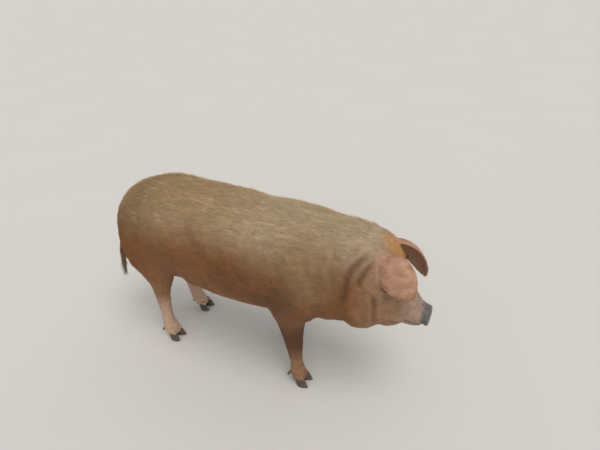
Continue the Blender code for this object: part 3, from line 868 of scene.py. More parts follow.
@dataclass(frozen=True)
class Hide:
    """The one skin: its fineness, how deep it lies under the top of the coat, and its details.

    All is in metres. Depths are those of the coat on each part, and a wrinkle is an x and a depth.
    """

    grain: float = 0.0034
    overlap: float = 0.0007
    triangles: int = 250000
    trunk_depth: float = 0.0065
    crest_depth: float = 0.0095
    belly_depth: float = 0.0035
    leg_depth: float = 0.0026
    head_depth: float = 0.0024
    ear_depth: float = 0.0009
    thin_depth: float = 0.0008
    disc_depth: float = 0.0006
    horn_depth: float = 0.0024
    ground_gap: float = 0.0004
    eye_fine: float = 0.030
    mouth_fine: float = 0.013
    disc_x: float = 0.7875
    disc_z: float = 0.473
    disc_half: tuple[float, float] = (0.046, 0.0387)
    nostril_half: tuple[float, float] = (0.0080, 0.0110)
    nostril_aside: float = 0.0195
    nostril_depth: float = 0.0040
    nostril_rim: float = 0.0010
    disc_rim: float = 0.0010
    rim_groove: float = 0.0012
    disc_edge: float = 0.0030
    disc_dish: float = 0.0022
    disc_cleft: float = 0.0012
    lip_groove: float = 0.0042
    lip_swell: float = 0.0012
    teat_pairs: int = 6
    last_teat: tuple[float, float] = (-0.2936, 0.078)
    teat_step: tuple[float, float] = (0.0864, -0.0068)
    tail_bevel: float = 0.0120
    tail_girth: tuple[float, ...] = (1.70, 1.15, 0.88, 0.72, 0.52, 0.30)
    tail: Line = ((-0.670, 0.000, 0.652), (-0.7175, -0.002, 0.646), (-0.7505, -0.018, 0.600),
                  (-0.7695, -0.050, 0.500), (-0.7785, -0.064, 0.410), (-0.7850, -0.069, 0.335))
    mouth: Line = ((0.6725, 0.498), (0.6965, 0.482), (0.7245, 0.469), (0.7525, 0.459),
                   (0.7780, 0.452))
    snout_wrinkles: Line = ((0.772, 0.0026), (0.757, 0.0022), (0.741, 0.0018), (0.720, 0.0014),
                            (0.694, 0.0011))

    FLESH = ("torso", "neck", "head", "leg_hind_right", "leg_hind_left", "leg_front_right",
             "leg_front_left", *EARS, "snout")

    def build(self, eyes: list["Eye"]) -> Object:
        """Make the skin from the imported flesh.

        Args:
            eyes: The eyes that the lids close round.

        Returns:
            The skin, dressed and riding on the frame.
        """
        skin = self._gather()
        apply_modifier(skin, "REMESH", mode="VOXEL", voxel_size=self.grain)
        keep_largest(skin)
        self._even_out(skin)
        LOG.info("skin merged: %d faces", len(skin.data.polygons))
        self._refine(skin, eyes)
        parts = self._label(skin.data)
        self._sink(skin.data, parts)
        self._fold(skin.data, parts)
        self._shape_snout(skin.data)
        for eye in eyes:
            self._shape_lids(skin.data, eye)
        self._thin(skin, eyes)
        self._store(skin.data, eyes)
        dress(skin, SkinFinish().material())
        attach(skin, "root")
        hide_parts(*self.FLESH, "tail")
        return skin

    def _gather(self) -> Object:
        """Join grown copies of the flesh nodes and the core of the tail.

        Returns:
            The joined object.
        """
        pieces = []
        for name in self.FLESH:
            piece = copy_of_node(name, "flesh_" + name)
            is_ear = name in EARS
            with editing(piece):
                bpy.ops.transform.shrink_fatten(value=self.overlap)
                if is_ear:
                    bpy.ops.mesh.tris_convert_to_quads()
            if is_ear:
                apply_modifier(piece, "SUBSURF", levels=2, render_levels=2)
                apply_modifier(piece, "SMOOTH", factor=0.5, iterations=12)
            pieces.append(piece)
        pieces += [copy_of_node(name, "inside_" + name) for name in claw_names(*FEET)]
        pieces.append(self._tail_core())
        skin = join("skin", pieces)
        skin.data.name = "skin"
        return skin

    def _even_out(self, skin: Object) -> None:
        """Smooth the skin a little all over, and the trunk until no facet of the solids shows.

        Args:
            skin: The skin.
        """
        apply_modifier(skin, "SMOOTH", factor=0.5, iterations=3)
        points = points_of(skin.data)
        x, y, z = points.T
        trunk = step(x, 0.60, 0.50) * step(z, 0.355, 0.40)
        legs = 0.30 * step(z, 0.09, 0.13) * step(x, 0.60, 0.50)
        head = 0.22 * step(x, 0.50, 0.60) * step(x, 0.755, 0.735)
        broad = np.maximum.reduce([trunk, legs, head])
        broad *= step(node_distance(points, EARS, 0.014), 0.006, 0.013)
        lip_end, _ = line_distance(points, self.mouth[-2:])
        broad = np.maximum(broad, step(lip_end, 0.014, 0.007) * step(x, 0.744, 0.752)
                           * step(x, 0.782, 0.776) * step(np.abs(y), 0.010, 0.016))
        tail, _ = line_distance(points, self.tail)
        broad *= 1.0 - step(tail, 0.05, 0.02) * step(x, -0.70, -0.72)
        group = skin.vertex_groups.new(name="broad")
        levels = np.round(broad * 20.0) / 20.0
        for level in np.unique(levels):
            if level > 0.0:
                group.add(np.flatnonzero(levels == level).tolist(), float(level), "REPLACE")
        apply_modifier(skin, "SMOOTH", factor=0.5, iterations=60, vertex_group="broad")
        skin.vertex_groups.clear()

    def _tail_core(self) -> Object:
        """The fleshy core of the tail as a tapered tube along its path.

        Returns:
            The tube.
        """
        bpy.ops.curve.primitive_bezier_curve_add(location=(0.0, 0.0, 0.0))
        curve = bpy.context.view_layer.objects.active
        spline = curve.data.splines[0]
        spline.bezier_points.add(len(self.tail) - 2)
        for knot, place, girth in zip(spline.bezier_points, self.tail, self.tail_girth):
            knot.co, knot.radius = place, girth
            knot.handle_left_type = knot.handle_right_type = "AUTO"
        curve.data.dimensions = "3D"
        curve.data.bevel_depth = self.tail_bevel
        curve.data.bevel_resolution = 4
        curve.data.use_fill_caps = True
        bpy.ops.object.convert(target="MESH")
        return bpy.context.view_layer.objects.active

    def _refine(self, skin: Object, eyes: list["Eye"]) -> None:
        """Divide the faces round the eyes, the mouth and the snout disc.

        Args:
            skin: The skin.
            eyes: Both eyes.
        """
        points = points_of(skin.data)
        x = points[:, 0]
        near_mouth, _ = line_distance(points, self.mouth)
        close = (x > 0.745) | (near_mouth < self.mouth_fine) & (x > 0.66)
        for eye in eyes:
            close |= eye.distance(points) < self.eye_fine
        self._divide(skin, close)
        points = points_of(skin.data)
        self._divide(skin, np.any([eye.opening(points) < 0.0080 for eye in eyes], axis=0))

    @staticmethod
    def _divide(skin: Object, chosen: Rows) -> None:
        """Divide the faces between the chosen vertices once.

        Args:
            skin: The skin.
            chosen: Whether each vertex is chosen.
        """
        with editing(skin, "DESELECT"):
            bpy.ops.mesh.select_mode(type="VERT")
        skin.data.vertices.foreach_set("select", chosen)
        with editing(skin, None):
            bpy.ops.mesh.subdivide(number_cuts=1, smoothness=0.0)

    def _label(self, mesh: Mesh) -> dict[str, Rows]:
        """How far each vertex belongs to an ear, a leg, the head, the tail and the disc.

        Args:
            mesh: The skin's mesh.

        Returns:
            Numbers from 0 to 1 for each part, one a vertex.
        """
        points = points_of(mesh)
        ear, cup = ear_share(points, normals_of(mesh))
        x, _, z = points.T
        tail, _ = line_distance(points, self.tail)
        return {
            "ear": ear,
            "cup": cup,
            "leg": step(z, 0.36, 0.30),
            "head": step(x, 0.54, 0.64),
            "belly": step(z, 0.52, 0.38) * step(x, 0.50, 0.40),
            "tail": step(tail, 0.022, 0.016) * step(x, -0.735, -0.745),
            "disc": step(x, self.disc_x - 0.0040, self.disc_x + 0.0015),
            "nose": step(x + 0.0035 * wander(points, 0.030, 4), 0.764, 0.7905),
            "teat": self._teats(points),
        }

    def _teats(self, points: Rows) -> Rows:
        """How far places belong to a teat, from 0 to 1.

        Args:
            points: Places, one a row.

        Returns:
            One number a place.
        """
        x, y, z = points.T
        share = np.zeros(len(x))
        for i in range(self.teat_pairs):
            aside = 1.05 * (self.last_teat[1] + self.teat_step[1] * i + 0.003 * math.sin(1.7 * i))
            away = np.hypot(x - (self.last_teat[0] + self.teat_step[0] * i), np.abs(y) - aside)
            share = np.maximum(share, step(away, 0.021, 0.012) * (z < 0.40))
        return share

    def _sink(self, mesh: Mesh, parts: dict[str, Rows]) -> None:
        """Lower the skin by the depth of the coat, which differs from part to part.

        Args:
            mesh: The skin's mesh.
            parts: How far each vertex belongs to each part, as _label gives it.
        """
        points = points_of(mesh)
        x, _, z = points.T
        crest = step(z, 0.76, 0.84) * step(x, -0.62, -0.50)
        depth = self.trunk_depth + crest * (self.crest_depth - self.trunk_depth)
        horn = step(node_distance(points, claw_names(*FEET), 0.006), 0.0050, 0.0010)
        for share, value in ((parts["belly"], self.belly_depth), (parts["teat"], self.thin_depth),
                             (parts["head"], self.head_depth), (parts["leg"], self.leg_depth),
                             (parts["ear"], self.ear_depth), (parts["tail"], 0.0),
                             (parts["disc"], self.disc_depth), (step(z, 0.12, 0.08), self.thin_depth),
                             (horn * step(z, 0.064, 0.048), self.horn_depth)):
            depth += share * (value - depth)
        points -= normals_of(mesh) * depth[:, None]
        points[:, 2] = np.maximum(z, self.ground_gap)
        put_points(mesh, points)

    def _fold(self, mesh: Mesh, parts: dict[str, Rows]) -> None:
        """Press the folds in, and let the flesh between them swell a little.

        Args:
            mesh: The skin's mesh.
            parts: How far each vertex belongs to each part, as _label gives it.
        """
        points = points_of(mesh)
        normals = normals_of(mesh)
        x, y, z = points.T
        move = np.zeros(len(points))
        for groove in GROOVES:
            distance, share = line_distance(points, groove.line)
            ends = step(share, -0.02, 0.22) * step(share, 1.02, 0.72)
            shape = -groove.depth * bell(distance, groove.width)
            shape += groove.ridge * bell(distance - 2.1 * groove.width, groove.width)
            for side in groove.sides:
                where = (y * side > groove.aside) & (normals[:, 1] * side > -0.1)
                move += np.where(where, shape * ends, 0.0)
        move *= 1.0 - parts["ear"]
        trunk = (1.0 - parts["head"]) * (1.0 - parts["leg"]) * (1.0 - parts["tail"])
        trunk *= 1.0 - parts["teat"]
        move += trunk * (0.0026 * wander(points, 0.19, 5) + 0.0005 * wander(points, 0.055, 6))
        move += parts["head"] * (1.0 - parts["ear"]) * (1.0 - parts["disc"]) * (
            0.0009 * wander(points, 0.045, 7) + 0.0005 * wander(points, 0.017, 8))
        move += parts["leg"] * 0.0005 * wander(points, 0.050, 9)
        snout = np.zeros(len(points))
        slope = x - 0.42 * (z - 0.53)
        top = step(normals[:, 2], 0.0, 0.45) * step(np.abs(y), 0.062, 0.030)
        for place, depth in self.snout_wrinkles:
            snout -= depth * bell(slope - place, 0.0042)
        move += snout * top * (1.0 - parts["disc"]) * (x > 0.62)
        ceiling = 0.55 * self.trunk_depth * trunk + 0.0012
        put_points(mesh, points + normals * np.minimum(move, ceiling)[:, None])

    def _shape_snout(self, mesh: Mesh) -> None:
        """Deepen the nostrils, raise the disc's rim and press in the line of the mouth.

        Args:
            mesh: The skin's mesh.
        """
        points = points_of(mesh)
        normals = normals_of(mesh)
        x, y, z = points.T
        out_z = (z - self.disc_z) / self.disc_half[1]
        reach = np.sqrt((y / self.disc_half[0]) ** 2 + out_z ** 2)
        front = step(x, 0.795, 0.802) * step(normals[:, 0], 0.2, 0.7)
        push = np.zeros(len(points))
        around = np.stack([0.0 * y, y, z - self.disc_z], axis=1)
        swell = (self.disc_rim * bell(x - 0.7985, 0.0042)
                 - self.rim_groove * bell(x - 0.7850, 0.0050))
        swell = swell * step(x, 0.765, 0.775) * step(reach, 0.5, 0.8)
        points += unit(around) * swell[:, None]
        push -= self.disc_edge * front * step(reach, 0.84, 1.02)
        push -= self.disc_dish * front * step(reach, 0.82, 0.55)
        push -= self.disc_cleft * front * bell(y, 0.004) * step(out_z, 0.7, 0.3)
        for side in Side:
            hole = self._to_nostril(points, side)
            push -= self.nostril_depth * step(hole, 1.15, 0.5) * (x > 0.785) * (reach < 0.95)
            push += self.nostril_rim * front * bell(hole - 1.5, 0.30)
        x += push
        distance, share = line_distance(points, self.mouth)
        ends = step(share, -0.01, 0.10) * step(x, 0.782, 0.752)
        lips = (-self.lip_groove * bell(distance, 0.0028)
                + self.lip_swell * bell(distance - 0.0070, 0.0032))
        aside = normals * (lips * ends * (np.abs(y) > 0.016))[:, None]
        put_points(mesh, points + aside)

    def _to_nostril(self, points: Rows, side: Side) -> Rows:
        """How far places lie from the middle of a nostril, where 1 is its edge.

        Args:
            points: Places, one a row.
            side: The nostril's side.

        Returns:
            One number a place.
        """
        across = (points[:, 1] - side.value * self.nostril_aside) / self.nostril_half[0]
        along = (points[:, 2] - self.disc_z) / self.nostril_half[1]
        return np.sqrt(across ** 2 + along ** 2)

    @staticmethod
    def _shape_lids(mesh: Mesh, eye: "Eye") -> None:
        """Close two lids round the eyeball, with an almond opening between them.

        Args:
            mesh: The skin's mesh.
            eye: The eye that they close round.
        """
        points = points_of(mesh)
        distance = eye.distance(points)
        near = distance < eye.lid_reach
        reach = distance[near]
        way = (points[near] - eye.center) / reach[:, None]
        ahead = way @ eye.ahead
        edge = eye.edge(way)
        lid = eye.radius + eye.lid_thickness * step(edge, -0.0002, 0.0016)
        lid += eye.lid_rim * bell(edge - 0.0032, 0.0018)
        target = np.where(edge < 0.0, eye.radius - eye.hidden_depth, lid)
        hold = step(edge, 0.0105, 0.0045) * step(ahead, 0.05, 0.35)
        made = reach + (target - reach) * hold
        crease = -eye.lid_crease * bell(edge - 0.0068, 0.0016) * step(ahead, 0.05, 0.30)
        points[near] = eye.center + way * (made + crease)[:, None]
        put_points(mesh, points)

    def _thin(self, skin: Object, eyes: list["Eye"]) -> None:
        """Thin the mesh where it is plain, and leave the head and the feet finer.

        Args:
            skin: The skin.
            eyes: Both eyes, which stay fine.
        """
        points = points_of(skin.data)
        x, y, z = points.T
        fine = np.maximum(step(x, 0.55, 0.62), step(z, 0.30, 0.12) * 0.5)
        group = skin.vertex_groups.new(name="plain")
        for level in (1.0, 0.8, 0.5):
            chosen = np.flatnonzero(np.abs(np.round(1.0 - 0.5 * fine, 1) - level) < 0.11)
            group.add(chosen.tolist(), level, "REPLACE")
        kept = (line_distance(points, self.mouth)[0] < 0.007) & (x > 0.68) & (np.abs(y) > 0.012)
        for eye in eyes:
            kept |= eye.distance(points) < 0.022
        group.add(np.flatnonzero(kept).tolist(), 0.0, "REPLACE")
        count = 2 * len(skin.data.polygons)
        if count > self.triangles:
            apply_modifier(skin, "DECIMATE", decimate_type="COLLAPSE", vertex_group="plain",
                           vertex_group_factor=0.0001, ratio=self.triangles / count)
        skin.vertex_groups.clear()
        LOG.info("skin thinned: %d faces", len(skin.data.polygons))

    def _store(self, mesh: Mesh, eyes: list["Eye"]) -> None:
        """Store the masks that the material and the coat read.

        Args:
            mesh: The skin's mesh.
            eyes: Both eyes.
        """
        points = points_of(mesh)
        x, y, _ = points.T
        parts = self._label(mesh)
        for name in ("ear", "cup", "disc", "nose", "teat", "tail"):
            put_numbers(mesh, name, parts[name])
        put_numbers(mesh, "rim", step(sharpness(mesh), 90.0, 220.0))
        # Painted shade in the folds, read by the skin and the coat
        put_numbers(mesh, "fold", fold_shade(points))
        lids = [step(eye.opening(points), 0.0036, 0.0010) for eye in eyes]
        put_numbers(mesh, "lid", np.maximum.reduce(lids))
        # The nostrils and the line of the mouth are painted dark as shade in these hollows
        inside = step(x, 0.802, 0.797) * parts["disc"]
        dark = [step(self._to_nostril(points, side), 1.10, 0.80) * inside for side in Side]
        distance, _ = line_distance(points, self.mouth)
        mouth = step(distance, 0.0034, 0.0006) * step(x, 0.660, 0.690) * 0.6
        dark.append(mouth * (np.abs(y) > 0.012) * (x < 0.79))
        put_numbers(mesh, "nostril", np.maximum.reduce(dark))


def sharpness(mesh: Mesh) -> Rows:
    """How sharply the surface turns at each vertex, as one over the radius in metres.

    Args:
        mesh: The mesh.

    Returns:
        One number a vertex.
    """
    points = points_of(mesh)
    normals = normals_of(mesh)
    first, second = read(mesh.edges, "vertices", 2, np.int32).T
    turn = np.linalg.norm(normals[first] - normals[second], axis=1)
    turn /= np.maximum(np.linalg.norm(points[first] - points[second], axis=1), 1e-6)
    total = np.bincount(first, turn, len(points)) + np.bincount(second, turn, len(points))
    count = np.bincount(first, minlength=len(points)) + np.bincount(second, minlength=len(points))
    return total / np.maximum(count, 1)


def ear_share(points: Rows, normals: Rows) -> tuple[Rows, Rows]:
    """How far places belong to an ear, and how far to the hollow inside of one.

    Args:
        points: Places on the skin, one a row.
        normals: The skin's outward directions there.

    Returns:
        Two rows of numbers from 0 to 1.
    """
    share = np.zeros(len(points))
    hollow = np.zeros(len(points))
    for side in Side:
        distance = node_distance(points, ["ear_" + side.name.lower()], 0.012)
        here = step(distance, 0.0085, 0.0035)
        outward = np.array([0.15, 0.85 * side.value, 0.50])
        share = np.maximum(share, here)
        hollow = np.maximum(hollow, here * step(normals @ outward, 0.15, -0.25))
    return share, hollow


def fold_shade(points: Rows) -> Rows:
    """How strongly painted shade darkens places in the folds of the hide, from 0 to 1.

    Args:
        points: Places, one a row.

    Returns:
        One number a place.
    """
    share = np.zeros(len(points))
    for groove in GROOVES:
        distance, along = line_distance(points, groove.line)
        ends = step(along, -0.02, 0.25) * step(along, 1.02, 0.70)
        dark = groove.dark * bell(distance, 0.85 * groove.width) * ends
        for side in groove.sides:
            share = np.maximum(share, np.where(points[:, 1] * side > groove.aside, dark, 0.0))
    return share


# The eyes


class Eye:
    """One eyeball, with the directions that its lids are laid out by."""

    radius = 0.0125
    slot_half = 0.0100
    slot_height = 0.0048
    slot_rise = 0.0008
    lid_thickness = 0.0020
    lid_rim = 0.0010
    lid_crease = 0.0016
    lid_reach = 0.034
    hidden_depth = 0.0030
    gaze = (0.45, 0.84, 0.18)
    slant = (0.80, -0.40, -0.30)

    def __init__(self, side: Side) -> None:
        """Find the eye's middle and axes from its CAD node.

        Args:
            side: The side of the head that it is on.
        """
        self.side = side
        self.node = "eye_" + side.name.lower()
        low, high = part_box(self.node)
        self.center = np.array((low + high) / 2.0)
        mirror = np.array([1.0, side.value, 1.0])
        self.ahead = unit(mirror * self.gaze)
        slant = mirror * self.slant
        self.level = unit(slant - self.ahead * (slant @ self.ahead))
        self.upright = np.cross(self.ahead, self.level)
        if self.upright[2] < 0.0:
            self.upright = -self.upright

    def distance(self, points: Rows) -> Rows:
        """How far places lie from the eye's middle."""
        return np.linalg.norm(points - self.center, axis=1)

    def edge(self, ways: Rows) -> Rows:
        """How far directions from the eye's middle lead past the opening between the lids.

        Args:
            ways: Directions with length 1, one a row.

        Returns:
            Distances along the ball in metres, below 0 inside the opening.
        """
        across = (ways @ self.level) * self.radius
        up = (ways @ self.upright) * self.radius
        slot = self.slot_height * np.clip(1.0 - (across / self.slot_half) ** 2, 0.0, 1.0)
        return np.where(np.abs(across) < self.slot_half, np.abs(up - self.slot_rise) - slot,
                        np.hypot(np.abs(across) - self.slot_half, up))

    def opening(self, points: Rows) -> Rows:
        """How far places lie outside the opening between the lids, in metres.

        Args:
            points: Places, one a row.

        Returns:
            One distance a place, 1 where it is far off.
        """
        distance = self.distance(points)
        ways = (points - self.center) / np.maximum(distance, 1e-6)[:, None]
        behind = (ways @ self.ahead < 0.1) | (distance > self.lid_reach)
        return np.where(behind, 1.0, self.edge(ways))

    def build(self) -> Object:
        """Make the eyeball with its raised cornea.

        Returns:
            The eyeball, dressed and riding on the frame.
        """
        bpy.ops.mesh.primitive_uv_sphere_add(segments=48, ring_count=32, radius=self.radius - 0.0002)
        ball = bpy.context.view_layer.objects.active
        ball.name = "eyeball_" + self.side.name.lower()
        turn = Vector(self.ahead).to_track_quat("Z", "Y").to_matrix().to_4x4()
        rows = points_of(ball.data)
        angle = np.degrees(np.arccos(np.clip(rows[:, 2] / np.linalg.norm(rows, axis=1), -1.0, 1.0)))
        rows *= (1.0 + 0.055 * step(angle, 38.0, 6.0))[:, None]
        put_points(ball.data, rows)
        put_numbers(ball.data, "angle", angle)
        ball.data.transform(Matrix.Translation(self.center) @ turn)
        dress(ball, EyeFinish().material())
        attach(ball, "root")
        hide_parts(self.node)
        return ball


# The claws


@dataclass(frozen=True)
class Foot:
    """The claws and dewclaws of one foot, rounded from their CAD nodes."""

    word: str
    ridge_depth: float = 0.00035
    ridge_pitch: float = 0.0052
    wall_depth: float = 0.0004
    ground_gap: float = 0.0001

    def build(self) -> Object:
        """Make the foot's horn as one piece.

        Returns:
            The horn, dressed and riding on the frame.
        """
        names = claw_names(self.word)
        horn = join("horn_" + self.word, [self._round(name) for name in names])
        dress(horn, HornFinish().material())
        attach(horn, "root")
        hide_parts(*names)
        return horn

    def _round(self, name: str) -> Object:
        """One claw with a smooth wall, a crisp edge round its sole and growth ridges.

        Args:
            name: The claw's CAD node.

        Returns:
            The claw.
        """
        piece = copy_of_node(name, "round_" + name)
        with editing(piece):
            bpy.ops.mesh.tris_convert_to_quads()
        mesh = piece.data
        flat = points_of(mesh)[:, 2] < 0.0004
        crease = mesh.attributes.new("crease_edge", "FLOAT", "EDGE")
        ends = read(mesh.edges, "vertices", 2, np.int32)
        crease.data.foreach_set("value", np.where(flat[ends].all(axis=1), 0.7, 0.0))
        apply_modifier(piece, "SUBSURF", levels=2, render_levels=2)
        points = points_of(mesh)
        z = points[:, 2]
        wave = self.ridge_depth * np.sin(z * 2.0 * math.pi / self.ridge_pitch)
        lift = step(z, 0.003, 0.008) * step(z, 0.050, 0.040)
        points += normals_of(mesh) * ((wave - self.wall_depth) * lift)[:, None]
        middle = (points.min(axis=0) + points.max(axis=0)) / 2.0
        tuck = 0.24 * step(z, 0.032, 0.047) * float(name.startswith("claw"))
        points[:, :2] += (middle[:2] - points[:, :2]) * tuck[:, None]
        points[:, 2] = np.maximum(z, self.ground_gap)
        put_points(mesh, points)
        return piece


# The coat


@dataclass(frozen=True)
class Bristle:
    """How one kind of tuft grows: how many, its draw, sizes in metres and angles as slopes.

    Pale is how much lighter some tufts are, which on the loose topline tufts and along the ear rims
    is painted light from behind as well as paler hair. Reach is how far a tuft may stand off the
    skin.
    """

    count: int
    seed: int
    length: float
    width: float
    lift: float
    bend: float
    stray: float
    rings: int
    pale: float = 0.0
    reach: float = 0.006


# The pale loose and fringe tufts also carry painted light: hair on the topline and the ear rims lit
# from behind
KINDS = {
    "guard": Bristle(19000, 10, 0.026, 0.0010, 0.17, 0.12, 0.12, 2, 0.10),
    "fine": Bristle(44000, 20, 0.017, 0.0010, 0.13, 0.07, 0.12, 1),
    "crest": Bristle(13500, 31, 0.029, 0.0009, 0.25, 0.12, 0.16, 2, 0.35, 0.0090),
    "loose": Bristle(3600, 32, 0.034, 0.0008, 0.46, 0.22, 0.40, 3, 0.50, 0.0140),
    "face": Bristle(30000, 41, 0.0105, 0.0007, 0.13, 0.08, 0.18, 1, 0.05, 0.0020),
    "jowl": Bristle(16000, 42, 0.0145, 0.0007, 0.12, 0.08, 0.15, 1, 0.07, 0.0023),
    "ear": Bristle(22000, 51, 0.0075, 0.0006, 0.12, 0.07, 0.20, 1, 0.05, 0.0014),
    "fringe": Bristle(3000, 52, 0.0080, 0.0006, 0.14, 0.08, 0.20, 2, 0.35, 0.0018),
    "leg": Bristle(38000, 61, 0.0130, 0.0010, 0.16, 0.09, 0.14, 1, 0.0, 0.0025),
    "leg_guard": Bristle(2600, 62, 0.0180, 0.0010, 0.18, 0.13, 0.18, 2, 0.15, 0.0032),
    "over_claws": Bristle(1400, 63, 0.0130, 0.0009, 0.14, 0.10, 0.16, 2, 0.10, 0.0026),
    "tail": Bristle(2600, 71, 0.013, 0.0009, 0.16, 0.10, 0.22, 2, 0.05, 0.002),
    "locks": Bristle(560, 72, 0.080, 0.0013, 0.09, 0.07, 0.07, 3, 0.20, 0.008),
}
# Which way the hair lies on each part, before it is laid along the skin
LIES = {
    "ham": np.array([0.55, 0.0, -0.75]),
    "belly": np.array([-0.5, 0.0, 0.6]),
    "leg": np.array([-0.28, 0.0, -1.0]),
    "cheek": np.array([-0.80, 0.0, -0.30]),
    "brow": np.array([-0.62, 0.0, 0.78]),
    "parting": np.array([0.0, 0.30, 0.0]),
    "ear": np.array([0.52, 0.0, -0.80]),
    "ear_aside": np.array([0.0, 0.10, 0.0]),
    "tail": np.array([-0.02, -0.16, -1.0]),
}


@dataclass
class Growth:
    """Roots of tufts with all that shapes them, one row a tuft."""

    places: Rows
    normals: Rows
    ways: Rows
    lengths: Rows
    widths: Rows
    lifts: Rows
    bends: Rows
    pales: Rows
    masks: dict[str, Rows]
    rings: int

    def pick(self, chosen: Rows) -> "Growth":
        """The chosen rows only.

        Args:
            chosen: Which rows, by number or by yes and no.

        Returns:
            Their growth.
        """
        rows = {key: value[chosen] for key, value in vars(self).items() if isinstance(value, Rows)}
        masks = {key: value[chosen] for key, value in self.masks.items()}
        return replace(self, masks=masks, **rows)


